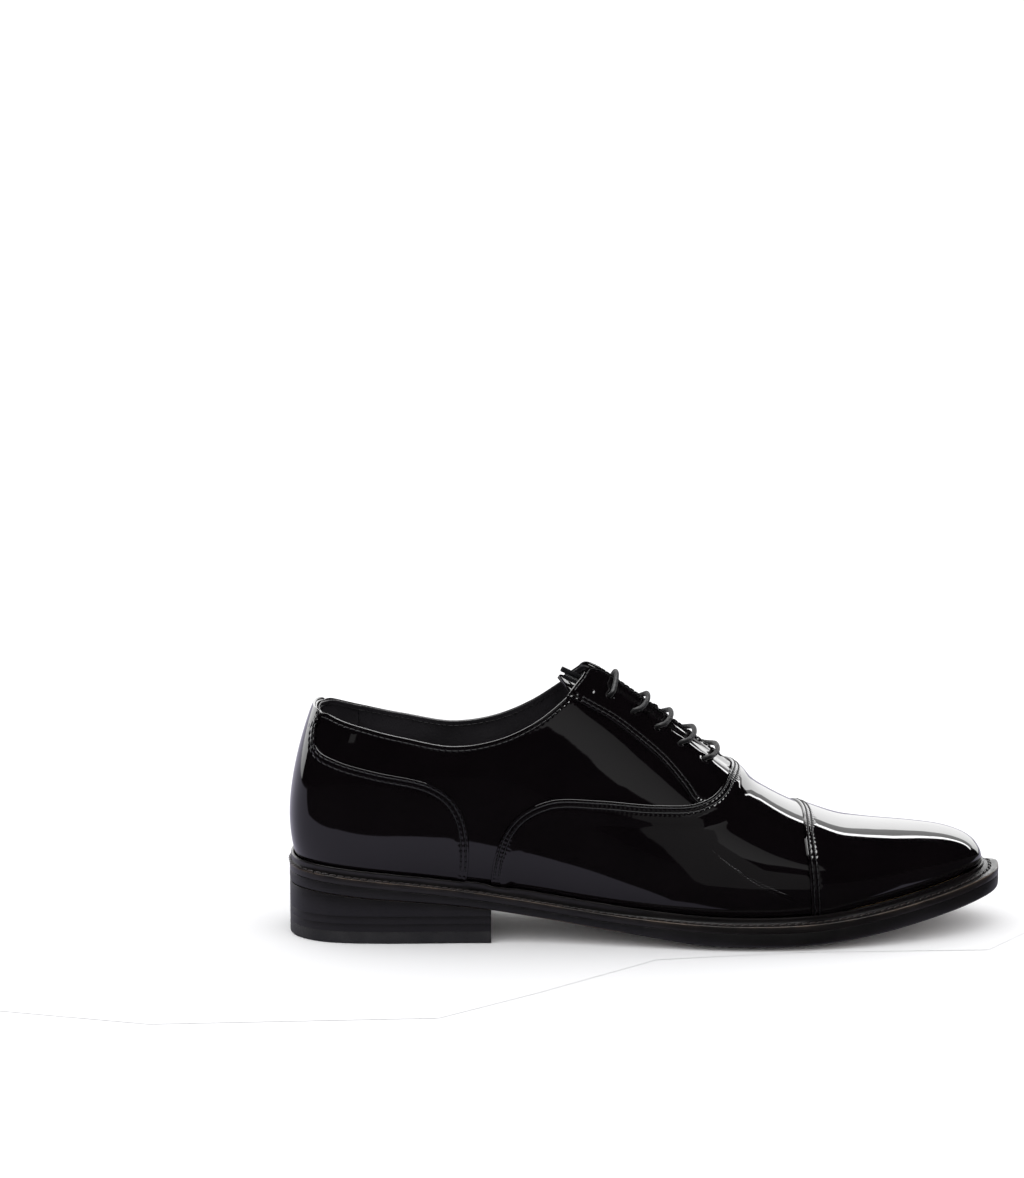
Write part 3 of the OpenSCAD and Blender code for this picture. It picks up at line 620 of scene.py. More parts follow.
def make_patent():
    """Black leather under clear lacquer: faint orange peel and slow waves in its shine."""
    material, tree, shader, where = new_material("Black patent leather")
    link = tree.links.new
    effect = tree.nodes.new("ShaderNodeGroup")
    effect.node_tree = GRAIN
    effect.inputs["Mottle size"].default_value = 55
    effect.inputs["Grain size"].default_value = 650
    effect.inputs["Grain share"].default_value = 0.25
    link(where, effect.inputs["Vector"])
    tint = tree.nodes.new("ShaderNodeValToRGB")
    tint.color_ramp.elements[0].color = (0.0014, 0.001, 0.0013, 1)
    tint.color_ramp.elements[1].color = (0.003, 0.0022, 0.0027, 1)
    link(effect.outputs["Mottle"], tint.inputs["Fac"])
    link(tint.outputs["Color"], shader.inputs["Base Color"])
    rough = node(tree, "ShaderNodeMapRange")
    rough.inputs["To Min"].default_value, rough.inputs["To Max"].default_value = 0.02, 0.07
    link(effect.outputs["Mottle"], rough.inputs["Value"])
    link(rough.outputs["Result"], shader.inputs["Roughness"])
    shader.inputs["IOR"].default_value = 1.52
    slow = node(tree, "ShaderNodeTexNoise", Scale=85.0, Detail=1.0, Roughness=0.4)
    link(where, slow.inputs["Vector"])
    waves = node(tree, "ShaderNodeBump", Strength=0.35, Distance=0.0001)
    link(slow.outputs["Fac"], waves.inputs["Height"])
    peel = node(tree, "ShaderNodeBump", Strength=0.25, Distance=0.00001)
    link(effect.outputs["Height"], peel.inputs["Height"])
    link(waves.outputs["Normal"], peel.inputs["Normal"])
    link(peel.outputs["Normal"], shader.inputs["Normal"])
    return material


patent = make_patent()
tongue_rows = [0.12, 0.25, 0.4, 0.8, 1.5, 2.0, 2.4, 2.8, 4]
inset_edge = [(t, min(v + 0.08, RIDGE)) for t, v in TONGUE_EDGE]


def tongue_lift(t):
    """The loose end sinks into the shoe."""
    return TONGUE_LIFT - TONGUE_SAG * np.maximum(0, SAG_START - t) ** 2


def tongue_face(a, b, phase, t, v):
    near = np.minimum(a, b)
    return tongue_lift(t) - rolled(near, 0.4) - sewn(near, 2.4, phase, 0.12)


def tongue_back(a, b, phase, t, v):
    return tongue_lift(t) - SKIN + rolled(np.minimum(a, b), 0.3)


tongue = Piece("tongue_leather", TONGUE_EDGE, other_side(TONGUE_EDGE), tongue_face, tongue_back,
               tongue_rows, tongue_rows, middle=18)
dress(tongue.obj, patent, "tongue", ["tongue"])
tongue_lining = Piece("tongue_lining_leather", inset_edge, other_side(inset_edge),
                      lambda a, b, phase, t, v: tongue_back(a, b, phase, t, v) - 0.1,
                      lambda a, b, phase, t,
                      v: tongue_lift(t) - SKIN - 0.1 - LINING + rolled(np.minimum(a, b), 0.3),
                      tongue_rows, tongue_rows, middle=10, visible="back")
dress(tongue_lining.obj, lining_leather, "tongue", ["tongue_lining"])

# ---- Quarters ----------------------------------------------------------------------------------
# The two sides of the upper, cut from patent leather and joined at the back of the heel. The top
# edge is turned in, pressed and sewn once; the foot end runs on under the vamp and the counter.
QUARTER_FOOT = [(-0.5, 1), (0.1, 1), (0.7, 1), (1.4, 1), (2.4, 1), (3.8, 1), (5.2, 1), (5.8, 1.15),
                (6.1, 1.95), (6.75, 2.4), (7.9, 2.68), (9.1, 2.98), (10, 3.4), (10.5, 4.2), (10.75, 4.7)]
TOP_STITCH = 2.0
EDGE_ROUND = 0.5
FACING_LIFT = 1.0
top_rows = [0.05, 0.12, 0.22, 0.35, 0.5, 0.8, 1.2, 1.5, 1.75, 2.0, 2.25, 2.6, 3.2, 4.2]
holes = [on_last(t, RIDGE + side) for t in EYELETS for side in (-1, 1)]


def slow_waves(t, v):
    """Lasted leather is never quite even: low swells a finger's width apart."""
    low = 0.08 * np.sin(3.1 * t + 1.7 * v + 0.4) * np.sin(1.3 * t - 2.6 * v)
    return low + 0.02 * np.sin(5.7 * t - 3.2 * v + 1.0)


def near_holes(t, v):
    """The leather dips where the lace draws it down at each hole."""
    place = on_last(t, v)
    dip = 0
    for hole in holes:
        dip = dip + 0.55 * np.exp(-np.sum((place - hole) ** 2, -1) / 2.2 ** 2)
    return dip


def quarter_face(a, b, phase, t, v):
    plain = 0.6 * slow_waves(t, v) * (1 - fall(b, 3, 12))
    return plain - rolled(b, EDGE_ROUND) - sewn(b, TOP_STITCH, phase)


def quarter_back(a, b, phase, t, v):
    return -SKIN + rolled(b, 0.3)


for name, mirror, side in (("lateral", list, -1), ("medial", other_side, 1)):
    piece = Piece("quarter_" + name + "_leather", mirror(QUARTER_FOOT), mirror(TOPLINE + LACE_EDGE),
                  quarter_face, quarter_back, [1, 3], top_rows, middle=26)
    punch(piece.obj, side)
    dress(piece.obj, patent, node=["quarter_" + name])
    pieces["quarter_" + name] = piece

# ---- Facings -----------------------------------------------------------------------------------
# A second layer of patent leather over the front of each quarter carries the lace holes. It is sewn
# on with a double row along its long seam and one row close to the lace edge.
FACING_SEAM = [(7.12, 4.36), (7.6, 4.39), (8.1, 4.42), (8.6, 4.34), (9.1, 4.18), (9.5, 3.9), (9.8, 3.63),
               (10.2, 3.82), (10.65, 4.5)]
FACING_EDGE = [(7.12, 4.36)] + [p for p in TOPLINE if p[0] > 7.2] + LACE_EDGE[:-1] + [(10.75, 5.94)]
SEAM_ROUND = 0.35
FACING_ROWS = (1.1, 2.9)
EDGE_ROW = 1.5
seam_rows = [0.05, 0.12, 0.22, 0.35, 0.7, 0.9, 1.1, 1.3, 1.6, 2.0, 2.5, 2.7, 2.9, 3.1, 3.4, 4]
lace_rows = [0.05, 0.12, 0.22, 0.35, 0.5, 0.8, 1.1, 1.3, 1.5, 1.7, 2.0, 2.5]


def facing_face(a, b, phase, t, v):
    face = FACING_LIFT + 0.7 * slow_waves(t, v) * (1 - fall(np.minimum(a, b), 2, 6))
    drawn_down = 0.75 * np.exp(-((b - 7) / 4) ** 2) * (1 - fall(a, 3, 9))
    face = face - rolled(a, SEAM_ROUND) - rolled(b, EDGE_ROUND) - near_holes(t, v) - drawn_down
    face = face - sewn(a, FACING_ROWS[0], phase) - sewn(a, FACING_ROWS[1], phase)
    return face - sewn(b, EDGE_ROW, phase, 0.12)


def facing_back(a, b, phase, t, v):
    return 0.02 - 0.25 * fall(np.minimum(a, 9), 0, 2) + 0.1 * fall(b, 0, 0.5)


for name, mirror, side in (("lateral", list, -1), ("medial", other_side, 1)):
    piece = Piece("facing_" + name + "_leather", mirror(FACING_SEAM), mirror(FACING_EDGE), facing_face,
                  facing_back, seam_rows, lace_rows, middle=26)
    punch(piece.obj, side)
    dress(piece.obj, patent, node=["facing_" + name])
    pieces["facing_" + name] = piece

# ---- Vamp --------------------------------------------------------------------------------------
# The front of the upper in one piece of patent leather. Its curved back seam laps over the quarters
# and the facings, with a double row of stitches, and its front end lies under the toe cap.
VAMP_SEAM = [(5.5, 1), (5.6, 1.8), (5.95, 2.35), (6.7, 2.72), (7.8, 2.97), (9, 3.27), (9.9, 3.7),
             (10.4, 4.5), (10.7, 6)]
VAMP_FRONT = [(5.56, 1), (7.1, 1), (8.7, 1), (10.2, 1), (11.5, 1), (12.35, 1.03), (12.55, 1.6),
              (12.5, 3.5), (12.65, 6)]
VAMP_STITCHES = (1.3, 3.3)
vamp_rows = [0.05, 0.12, 0.22, 0.35, 0.8, 1.1, 1.3, 1.5, 1.8, 2.3, 2.9, 3.1, 3.3, 3.5, 3.8, 4.5, 6]


def over_the_throat(v):
    """1 where the vamp lies on the facings as well, 0 down the sides."""
    return 1 - fall(np.minimum(v, 2 * RIDGE - v), 3.3, 3.8)


def vamp_face(a, b, phase, t, v):
    throat = over_the_throat(v)
    lap = fall(a, 5, 12) + 1.05 * throat * fall(a, 5, 17)
    swell = 1.3 * throat * fall(a, 0, 30) + 0.5
    face = lap + swell * slow_waves(t, v) * (1 - fall(a, 3, 8)) * (1 - fall(b, 3, 9))
    face = face - rolled(a, SEAM_ROUND)
    return face - sewn(a, VAMP_STITCHES[0], phase) - sewn(a, VAMP_STITCHES[1], phase)


def vamp_back(a, b, phase, t, v):
    lap = fall(a, 4, 11) * 1.02 + 1.05 * over_the_throat(v) * fall(a, 4, 14)
    return lap - 0.98 - 0.2 * (1 - fall(a, 4, 11))


vamp = Piece("vamp_leather", over_the_ridge(VAMP_SEAM), over_the_ridge(VAMP_FRONT), vamp_face,
             vamp_back, vamp_rows, [1, 3, 6], middle=44)
dress(vamp.obj, patent, node=["vamp"])

# ---- Toe cap -----------------------------------------------------------------------------------
# A cap of patent leather drawn over the toe puff; its straight back edge laps over the vamp and is
# sewn twice. The lower edge disappears behind the welt.
CAP_SEAM = [(12.25, 1), (12.18, 2.4), (12.15, 4), (12.3, 6)]
cap_rows = vamp_rows[:-2] + [4.4]


def cap_face(a, b, phase, t, v):
    even = 0.35 * slow_waves(t, v) * (1 - fall(a, 4, 10))
    return fall(a, 6, 24) + even - rolled(a, SEAM_ROUND) - sewn(a, 1.3, phase) - sewn(a, 3.3, phase)


def cap_back(a, b, phase, t, v):
    return fall(a, 6, 20) * 1.02 - 0.98 - 0.2 * (1 - fall(a, 6, 20))


cap = Piece("toe_cap_leather", over_the_ridge(CAP_SEAM), "toe", cap_face, cap_back, cap_rows, middle=64)
dress(cap.obj, patent, node=["toe_cap"])

# ---- Counter cover -----------------------------------------------------------------------------
# A patent leather cover round the outside of the heel, narrowing to a back strap that ends rough
# cut at the top edge. Sewn to both quarters with a double row.
COUNTER_SEAM = [(5, 1), (5.05, 2), (4.8, 2.5), (4.2, 2.76), (3.2, 2.91), (2.2, 3.08), (1.4, 3.27),
                (1.05, 3.6), (0.9, 3.97)]
COUNTER_FOOT = [(4.7, 1), (3.4, 1), (2.1, 1), (0.8, 1)]


def strap_top(t):
    """The strap's end is left as cut, so it isn't sewn there."""
    return fall(np.abs(t - HEEL_END), 1.25, 1.4)


def counter_face(a, b, phase, t, v):
    sewn_part = 1 - strap_top(t) * (v > 3.7)
    face = 0.95 + 0.4 * slow_waves(t, v) * (1 - fall(b, 4, 10)) - rolled(b, SEAM_ROUND)
    return face - sewn_part * (sewn(b, 1.3, phase) + sewn(b, 3.3, phase))


counter = Piece("counter_cover_leather", round_the_heel(COUNTER_FOOT), round_the_heel(COUNTER_SEAM),
                counter_face,
                lambda a, b, phase, t, v: 0.03 - 0.2 * fall(b, 0, 2), [1, 3], vamp_rows, middle=26)
dress(counter.obj, patent, node=["counter_cover"])


# ---- Stitching of the upper --------------------------------------------------------------------
# Black bonded thread, lockstitched: each stitch is a short bowed length between two needle holes.
# One row follows the top edge, two rows hold every lapped seam.
THREAD = 0.46


def gn(tree, kind, **settings):
    made = tree.nodes.new(kind)
    for key, value in settings.items():
        setattr(made, key, value)
    return made


def make_stitch_tree():
    """Sets one bowed stitch on every point of a line, lying along it and facing out of the leather."""
    tree = bpy.data.node_groups.new("Stitches along a seam", "GeometryNodeTree")
    face = tree.interface
    face.new_socket("Geometry", in_out="INPUT", socket_type="NodeSocketGeometry")
    for name, start in (("Stitch length", 0.002), ("Thread", 0.0005), ("Rise", 0.0002), ("Slant", 0.0)):
        face.new_socket(name, in_out="INPUT", socket_type="NodeSocketFloat").default_value = start
    face.new_socket("Finish", in_out="INPUT", socket_type="NodeSocketMaterial")
    face.new_socket("Geometry", in_out="OUTPUT", socket_type="NodeSocketGeometry")
    link = tree.links.new
    inp, out = gn(tree, "NodeGroupInput"), gn(tree, "NodeGroupOutput")

    def times(name, factor):
        """One of the tree's sizes, multiplied."""
        product = gn(tree, "ShaderNodeMath", operation="MULTIPLY")
        product.inputs[1].default_value = factor
        link(inp.outputs[name], product.inputs[0])
        return product.outputs[0]

    ends = []
    for factor in (-0.5, 0.5):
        place = gn(tree, "ShaderNodeCombineXYZ")
        link(times("Stitch length", factor), place.inputs["X"])
        ends.append(place)
    top = gn(tree, "ShaderNodeCombineXYZ")
    link(times("Rise", 2.0), top.inputs["Z"])
    bow = gn(tree, "GeometryNodeCurveQuadraticBezier")
    bow.inputs["Resolution"].default_value = 4
    link(ends[0].outputs[0], bow.inputs["Start"])
    link(top.outputs[0], bow.inputs["Middle"])
    link(ends[1].outputs[0], bow.inputs["End"])
    ring = gn(tree, "GeometryNodeCurvePrimitiveCircle")
    ring.inputs["Resolution"].default_value = 6
    link(times("Thread", 0.5), ring.inputs["Radius"])
    stitch = gn(tree, "GeometryNodeCurveToMesh")
    stitch.inputs["Fill Caps"].default_value = True
    link(bow.outputs["Curve"], stitch.inputs["Curve"])
    link(ring.outputs["Curve"], stitch.inputs["Profile Curve"])
    line = gn(tree, "GeometryNodeMeshToCurve")
    link(inp.outputs["Geometry"], line.inputs["Mesh"])
    along = gn(tree, "GeometryNodeInputTangent")
    out_of = gn(tree, "GeometryNodeInputNamedAttribute", data_type="FLOAT_VECTOR")
    out_of.inputs["Name"].default_value = "out"
    lie = gn(tree, "FunctionNodeAlignRotationToVector", axis="X")
    link(along.outputs[0], lie.inputs["Vector"])
    stand = gn(tree, "FunctionNodeAlignRotationToVector", axis="Z", pivot_axis="X")
    link(lie.outputs[0], stand.inputs["Rotation"])
    link(out_of.outputs["Attribute"], stand.inputs["Vector"])
    uneven = gn(tree, "FunctionNodeRandomValue", data_type="FLOAT")
    uneven.inputs["Min"].default_value = -0.05
    uneven.inputs["Max"].default_value = 0.05
    uneven.inputs["Seed"].default_value = 7
    turn = gn(tree, "ShaderNodeMath", operation="ADD")
    link(uneven.outputs[1], turn.inputs[0])
    link(inp.outputs["Slant"], turn.inputs[1])
    euler = gn(tree, "ShaderNodeCombineXYZ")
    link(turn.outputs[0], euler.inputs["Z"])
    as_turn = gn(tree, "FunctionNodeEulerToRotation")
    link(euler.outputs[0], as_turn.inputs[0])
    slanted = gn(tree, "FunctionNodeRotateRotation", rotation_space="LOCAL")
    link(stand.outputs[0], slanted.inputs["Rotation"])
    link(as_turn.outputs[0], slanted.inputs["Rotate By"])
    place = gn(tree, "GeometryNodeInstanceOnPoints")
    link(line.outputs["Curve"], place.inputs["Points"])
    link(stitch.outputs["Mesh"], place.inputs["Instance"])
    link(slanted.outputs[0], place.inputs["Rotation"])
    real = gn(tree, "GeometryNodeRealizeInstances")
    finish = gn(tree, "GeometryNodeSetMaterial")
    link(place.outputs["Instances"], real.inputs[0])
    link(real.outputs[0], finish.inputs["Geometry"])
    link(inp.outputs["Finish"], finish.inputs["Material"])
    link(finish.outputs["Geometry"], out.inputs["Geometry"])
    return tree


STITCH_TREE = make_stitch_tree()


def sew(name, rows, material, length, thread, rise, slant=0.0, body="shoe"):
    """Stitches on every point of the given rows, each row a pair of points and outward directions."""
    points = np.concatenate([r[0] for r in rows]) * MM
    outs = np.concatenate([r[1] for r in rows])
    edges, start = [], 0
    for place, _ in rows:
        edges += [(start + i, start + i + 1) for i in range(len(place) - 1)]
        start += len(place)
    mesh = bpy.data.meshes.new(name)
    mesh.from_pydata(points.tolist(), edges, [])
    mesh.attributes.new("out", "FLOAT_VECTOR", "POINT").data.foreach_set("vector", outs.ravel())
    obj = bpy.data.objects.new(name, mesh)
    bpy.context.scene.collection.objects.link(obj)
    sewing = obj.modifiers.new("sewing", "NODES")
    sewing.node_group = STITCH_TREE
    sizes = {"Stitch length": length * MM, "Thread": thread * MM, "Rise": rise * MM, "Slant": slant,
             "Finish": material}
    for item in STITCH_TREE.interface.items_tree:
        if item.in_out == "INPUT" and item.name in sizes:
            sewing[item.identifier] = sizes[item.name]
    apply_modifiers(obj)
    if "out" in obj.data.attributes:
        obj.data.attributes.remove(obj.data.attributes["out"])
    obj.data.shade_smooth()
    dress(obj, material, body)


def seam_row(piece, distance, edge="a", inside=False, lift=0.1, low=-9.0, high=99.0, keep=None):
    """The stitch places of one row of a piece, between two stations, where the row has its full width."""
    points, outs = piece.row(distance, edge, inside, lift)
    index = piece.rows_a.index(distance) if edge == "a" else -1 - piece.rows_b.index(distance)
    t, v = piece.grid[index, :, 0], piece.grid[index, :, 1]
    reach = piece.from_a[index] if edge == "a" else piece.from_a[-1] - piece.from_a[index]
    good = (reach > 0.9 * distance) & (t > low) & (t < high)
    if keep is not None:
        good &= keep(t, v)
    chosen = [i for i in range(0, len(t), COLUMNS_PER_STITCH) if good[i]]
    rows, run = [], []
    for i in chosen:
        if run and i - run[-1] > COLUMNS_PER_STITCH:
            rows.append(run)
            run = []
        run.append(i)
    rows.append(run)
    return [(points[r], outs[r]) for r in rows if len(r) > 2]


thread_black = grained("Black thread", (0.006, 0.006, 0.008), (0.016, 0.015, 0.018), 0.4, 0.6, 300,
                       4000, 0.2, 0.8, 0.0001)[0]
rows = []
for side in ("lateral", "medial"):
    rows += seam_row(pieces["quarter_" + side], TOP_STITCH, "b", high=7.0)
    rows += seam_row(pieces["facing_" + side], FACING_ROWS[0], high=9.85)
    rows += seam_row(pieces["facing_" + side], FACING_ROWS[1], high=9.85)
    rows += seam_row(pieces["facing_" + side], EDGE_ROW, "b", high=10.5)
    rows += seam_row(pieces["lining_" + side], 2.0, "b", inside=True, high=10.2)
for piece in (vamp, cap):
    for distance in VAMP_STITCHES:
        rows += seam_row(piece, distance)
for distance in VAMP_STITCHES:
    rows += seam_row(counter, distance, "b", keep=lambda t, v: np.abs(t - HEEL_END) > 1.38)
rows += seam_row(grip, 2.0, "b", inside=True)
sew("upper_stitches", rows, thread_black, 2.05, THREAD, 0.12)
sew("tongue_stitches", seam_row(tongue, 2.4, "a") + seam_row(tongue, 2.4, "b"), thread_black,
    2.05, THREAD, 0.12, body="tongue")

# ---- Lace --------------------------------------------------------------------------------------
# One round waxed cotton lace, braided. It crosses the facings in five straight bars and runs under
# them from hole to hole; both ends are tucked in beside the tongue and end in plastic tips.
LACE_D = 2.2
UNDER = -4.8
BAR_SHAPE = [(0.05, 0.96, 2.0), (0.14, 0.82, 2.3), (0.24, 0.5, 2.9), (0.27, 0.2, 3.2), (0.27, -0.2, 3.2),
             (0.24, -0.5, 2.9), (0.14, -0.82, 2.3), (0.05, -0.96, 2.0)]


def bar(number, first):
    t = EYELETS[number - 1]
    lean = 0.35 if number == 5 else 1.0
    over = [(t + lean * p[0], first * p[1], p[2]) for p in BAR_SHAPE]
    return [(t, first, -2), (t, first, 0.6)] + over + [(t, -first, 0.6), (t, -first, -2)]


def hidden(*places):
    return [(t, side, UNDER) for t, side in places]


END_A = [(7.7, -0.72, UNDER - 1.5), (7.95, -0.72, UNDER - 0.4)]
END_B = [(7.85, 0.72, UNDER - 0.4), (7.66, 0.68, UNDER - 1.4)]
ROUTE = (END_A + hidden((8.25, -0.75), (8.47, -0.95)) + bar(4, -1)
         + hidden((8.63, 1.03), (8.8, 1.2), (9.05, 1.28), (9.3, 1.2), (9.47, 1.03)) + bar(2, 1)
         + hidden((9.63, -1), (9.8, -1), (9.97, -1)) + bar(1, -1)
         + hidden((9.97, 0.97), (9.8, 0.8), (9.55, 0.72), (9.3, 0.8), (9.13, 0.97)) + bar(3, 1)
         + hidden((8.97, -1.03), (8.8, -1.2), (8.55, -1.28), (8.3, -1.2), (8.13, -1.03)) + bar(5, -1)
         + hidden((7.97, 0.95)) + END_B)


def on_route(places):
    p = np.array(places, float)
    t, v = p[:, 0], RIDGE + p[:, 1]
    return on_last(t, v) + outward(t, v) * p[:, 2:3]


def tube(name, line, radius, sides, step):
    """A cord along a line; radius is a function of the length run and the angles round it."""
    fine = smooth_line(line, len(line) * 40)
    for _ in range(30):
        fine[1:-1] = 0.5 * fine[1:-1] + 0.25 * (fine[:-2] + fine[2:])
    run = np.concatenate([[0], np.cumsum(np.linalg.norm(np.diff(fine, axis=0), axis=1))])
    count = int(run[-1] / step)
    want = np.linspace(0, run[-1], count)
    path = np.stack([np.interp(want, run, fine[:, k]) for k in range(3)], 1)
    ahead = unit(np.gradient(path, axis=0))
    up = unit(np.cross(ahead[0], [0, 1, 0.1]))
    angles = np.linspace(0, 2 * math.pi, sides + 1)[:-1]
    rings = []
    for i in range(count):
        up = unit(up - np.dot(up, ahead[i]) * ahead[i])
        right = np.cross(ahead[i], up)
        r = radius(want[i], angles)
        rings.append(path[i] + (r * np.cos(angles))[:, None] * up + (r * np.sin(angles))[:, None] * right)
    faces = quads(count, sides)
    faces += [list(range(sides))[::-1], list(range((count - 1) * sides, count * sides))]
    obj = solid(name, np.concatenate(rings), faces)
    turn_outward(obj)
    return obj


def braid(run, angles):
    """Radius of the braided cord: two families of strands winding opposite ways."""
    one = np.cos(4 * angles + 2 * math.pi * run / 2.6)
    other = np.cos(4 * angles - 2 * math.pi * run / 2.6)
    return LACE_D / 2 - 0.05 + 0.05 * np.maximum(one, other)


lace_cotton, shader = grained("Waxed cotton lace", (0.0025, 0.002, 0.0028), (0.007, 0.006, 0.008), 0.45,
                              0.6, 180, 5000, 0.2, 0.8, 0.00012)
shader.inputs["Sheen Weight"].default_value = 0.15
shader.inputs["Sheen Roughness"].default_value = 0.4
lace = tube("lace_braided", on_route(ROUTE), braid, 24, 0.2)
dress(lace, lace_cotton, node=["lace"])
tip_plastic = grained("Lace tip plastic", (0.008, 0.008, 0.009), (0.014, 0.014, 0.016), 0.15, 0.3, 120,
                      900, 0.2, 0.2, 0.0001)[0]
finish_node("aglets", tip_plastic)

# ---- Cork and shank ----------------------------------------------------------------------------
# Cork paste fills the hollow inside the welt in front of the arch, and a sprung steel strip carries
# the arch. Both are closed in by the outsole and stay as they were made.
cork = grained("Cork paste", (0.2, 0.11, 0.055), (0.52, 0.34, 0.19), 0.8, 0.95, 420, 1300, 0.8, 1.0,
               0.0006)[0]
steel, shader = grained("Shank steel", (0.42, 0.42, 0.44), (0.58, 0.58, 0.6), 0.28, 0.42, 30, 2500, 0.1,
                        0.3, 0.0001)
shader.inputs["Metallic"].default_value = 1.0
finish_node("cork_filler", cork)
finish_node("shank", steel)

# ---- Welt --------------------------------------------------------------------------------------
# A strip of stained leather sewn all round the foot of the upper. Its inner edge stands up as a bead
# against the leather; the outsole is stitched to its flat outer part with waxed thread in a channel.
# Each list gives (station, millimetres): how far the welt stands out past the edge of the last, how
# high its bead stands against the upper, and how far its flat top lies below the edge of the last
MARGIN = [(-0.5, 3.2), (2, 5), (5, 5), (9, 6), (12, 7), (15, 7.5), (18.5, 7.9)]
BEAD = [(-0.5, 2.6), (5, 2.8), (8, 2.6), (10, 1.2), (13, 1.2), (16, 2), (18.5, 2.2)]
DROP = [(-0.5, 2.4), (6, 2.5), (10, 2.3), (14, 2.2), (18.5, 1.9)]
WELT = 3                # thickness of the strip
BEAD_R = 0.7
CHANNEL = 0.38          # how far out the stitch channel lies, as a share of the flat part
WELT_PITCH = 3.1


def mixed(tree, factor, low, high, into):
    """Leads a mix of two colours into a socket, and returns the mix's own first colour socket."""
    mix = node(tree, "ShaderNodeMix", data_type="RGBA")
    first, second = [socket for socket in mix.inputs if socket.type == "RGBA"]
    first.default_value = (*low, 1)
    second.default_value = (*high, 1)
    tree.links.new(factor, mix.inputs["Factor"])
    tree.links.new([socket for socket in mix.outputs if socket.type == "RGBA"][0], into)
    return first


def stained(name, dark, light, highlight_and_wear, rough_low, rough_high, streak, bump):
    """Stained and waxed edge leather: fine level streaks from the trimming, and paler at its arris where
    the mask says: partly wear, partly a painted highlight.
    """
    material, tree, shader, where = new_material(name)
    link = tree.links.new
    flat = node(tree, "ShaderNodeMapping")
    flat.inputs["Scale"].default_value = (30, 30, streak)
    link(where, flat.inputs["Vector"])
    lines = node(tree, "ShaderNodeTexNoise", Scale=1.0, Detail=4.0, Roughness=0.6)
    link(flat.outputs["Vector"], lines.inputs["Vector"])
    effect = tree.nodes.new("ShaderNodeGroup")
    effect.node_tree = GRAIN
    effect.inputs["Mottle size"].default_value = 70
    effect.inputs["Grain size"].default_value = 1400
    effect.inputs["Grain share"].default_value = 0.3
    link(where, effect.inputs["Vector"])
    both = node(tree, "ShaderNodeMath", operation="MULTIPLY_ADD")
    both.inputs[1].default_value = 0.55
    link(effect.outputs["Mottle"], both.inputs[0])
    share = node(tree, "ShaderNodeMath", operation="MULTIPLY")
    share.inputs[1].default_value = 0.45
    link(lines.outputs["Fac"], share.inputs[0])
    link(share.outputs[0], both.inputs[2])
    tint = tree.nodes.new("ShaderNodeValToRGB")
    tint.color_ramp.elements[0].position, tint.color_ramp.elements[1].position = 0.36, 0.66
    tint.color_ramp.elements[0].color = (*dark, 1)
    tint.color_ramp.elements[1].color = (*light, 1)
    link(both.outputs[0], tint.inputs["Fac"])
    # Paler tan where the mask says, along the arris: partly wear, partly a painted highlight, broken up
    # by the mottle
    wear_and_highlight = node(tree, "ShaderNodeAttribute", attribute_name="wear_and_highlight")
    patchy = node(tree, "ShaderNodeMapRange")
    patchy.inputs["From Min"].default_value, patchy.inputs["From Max"].default_value = 0.42, 0.62
    patchy.inputs["To Min"].default_value, patchy.inputs["To Max"].default_value = 0.15, 1.0
    link(effect.outputs["Mottle"], patchy.inputs["Value"])
    amount = node(tree, "ShaderNodeMath", operation="MULTIPLY")
    link(wear_and_highlight.outputs["Fac"], amount.inputs[0])
    link(patchy.outputs["Result"], amount.inputs[1])
    colour_without_highlight_or_wear = mixed(tree, amount.outputs[0], light, highlight_and_wear, shader.inputs["Base Color"])
    link(tint.outputs["Color"], colour_without_highlight_or_wear)
    rough = node(tree, "ShaderNodeMapRange")
    rough.inputs["To Min"].default_value, rough.inputs["To Max"].default_value = rough_low, rough_high
    link(both.outputs[0], rough.inputs["Value"])
    link(rough.outputs["Result"], shader.inputs["Roughness"])
    level = node(tree, "ShaderNodeBump", Strength=bump, Distance=0.0002)
    link(lines.outputs["Fac"], level.inputs["Height"])
    relief = node(tree, "ShaderNodeBump", Strength=0.3, Distance=0.0002)
    link(effect.outputs["Height"], relief.inputs["Height"])
    link(level.outputs["Normal"], relief.inputs["Normal"])
    link(relief.outputs["Normal"], shader.inputs["Normal"])
    return material


# The third colour is the paler tan of the welt's arris: partly wear, partly a painted highlight
welt_leather = stained("Stained welt leather", (0.003, 0.0022, 0.0026), (0.009, 0.0065, 0.0065),
                       (0.1, 0.065, 0.042), 0.25, 0.42, 900, 0.25)
rim = Rim(1500)
shelf = -value_at(rim.t, DROP)
margin = value_at(rim.t, MARGIN)
side = np.where(rim.u > 1, -1, 1)
girths = np.where(rim.u > 1, 11, 1) + side * value_at(rim.t, BEAD) / 20
at = np.minimum(rim.t, TOE_END - 0.02)
cover = fall(rim.t, 4.85, 5.1) + (1 - fall(rim.t, 5.35, 5.55)) * fall(rim.t, 5.75, 6.2)
crest = on_last(at, girths) + outward(at, girths) * (0.25 + 0.95 * cover)[:, None]
crest_out = np.sum((crest - rim.point) * rim.out, axis=1)
crest_up = (crest - rim.point)[:, 2]
flat_from = crest_out + 2 * BEAD_R + 0.15
flat_width = np.maximum(margin - flat_from, 0.4)
channel = flat_from + CHANNEL * flat_width
deep = 0.45 * np.clip(flat_width / 3, 0.3, 1)
wide = np.minimum(0.65, 0.3 * flat_width)


def turned(degrees):
    a = math.radians(degrees)
    return rim.ring(crest_out + BEAD_R * (1 + math.cos(a)) - 0.1, crest_up - BEAD_R * (1 - math.sin(a)))


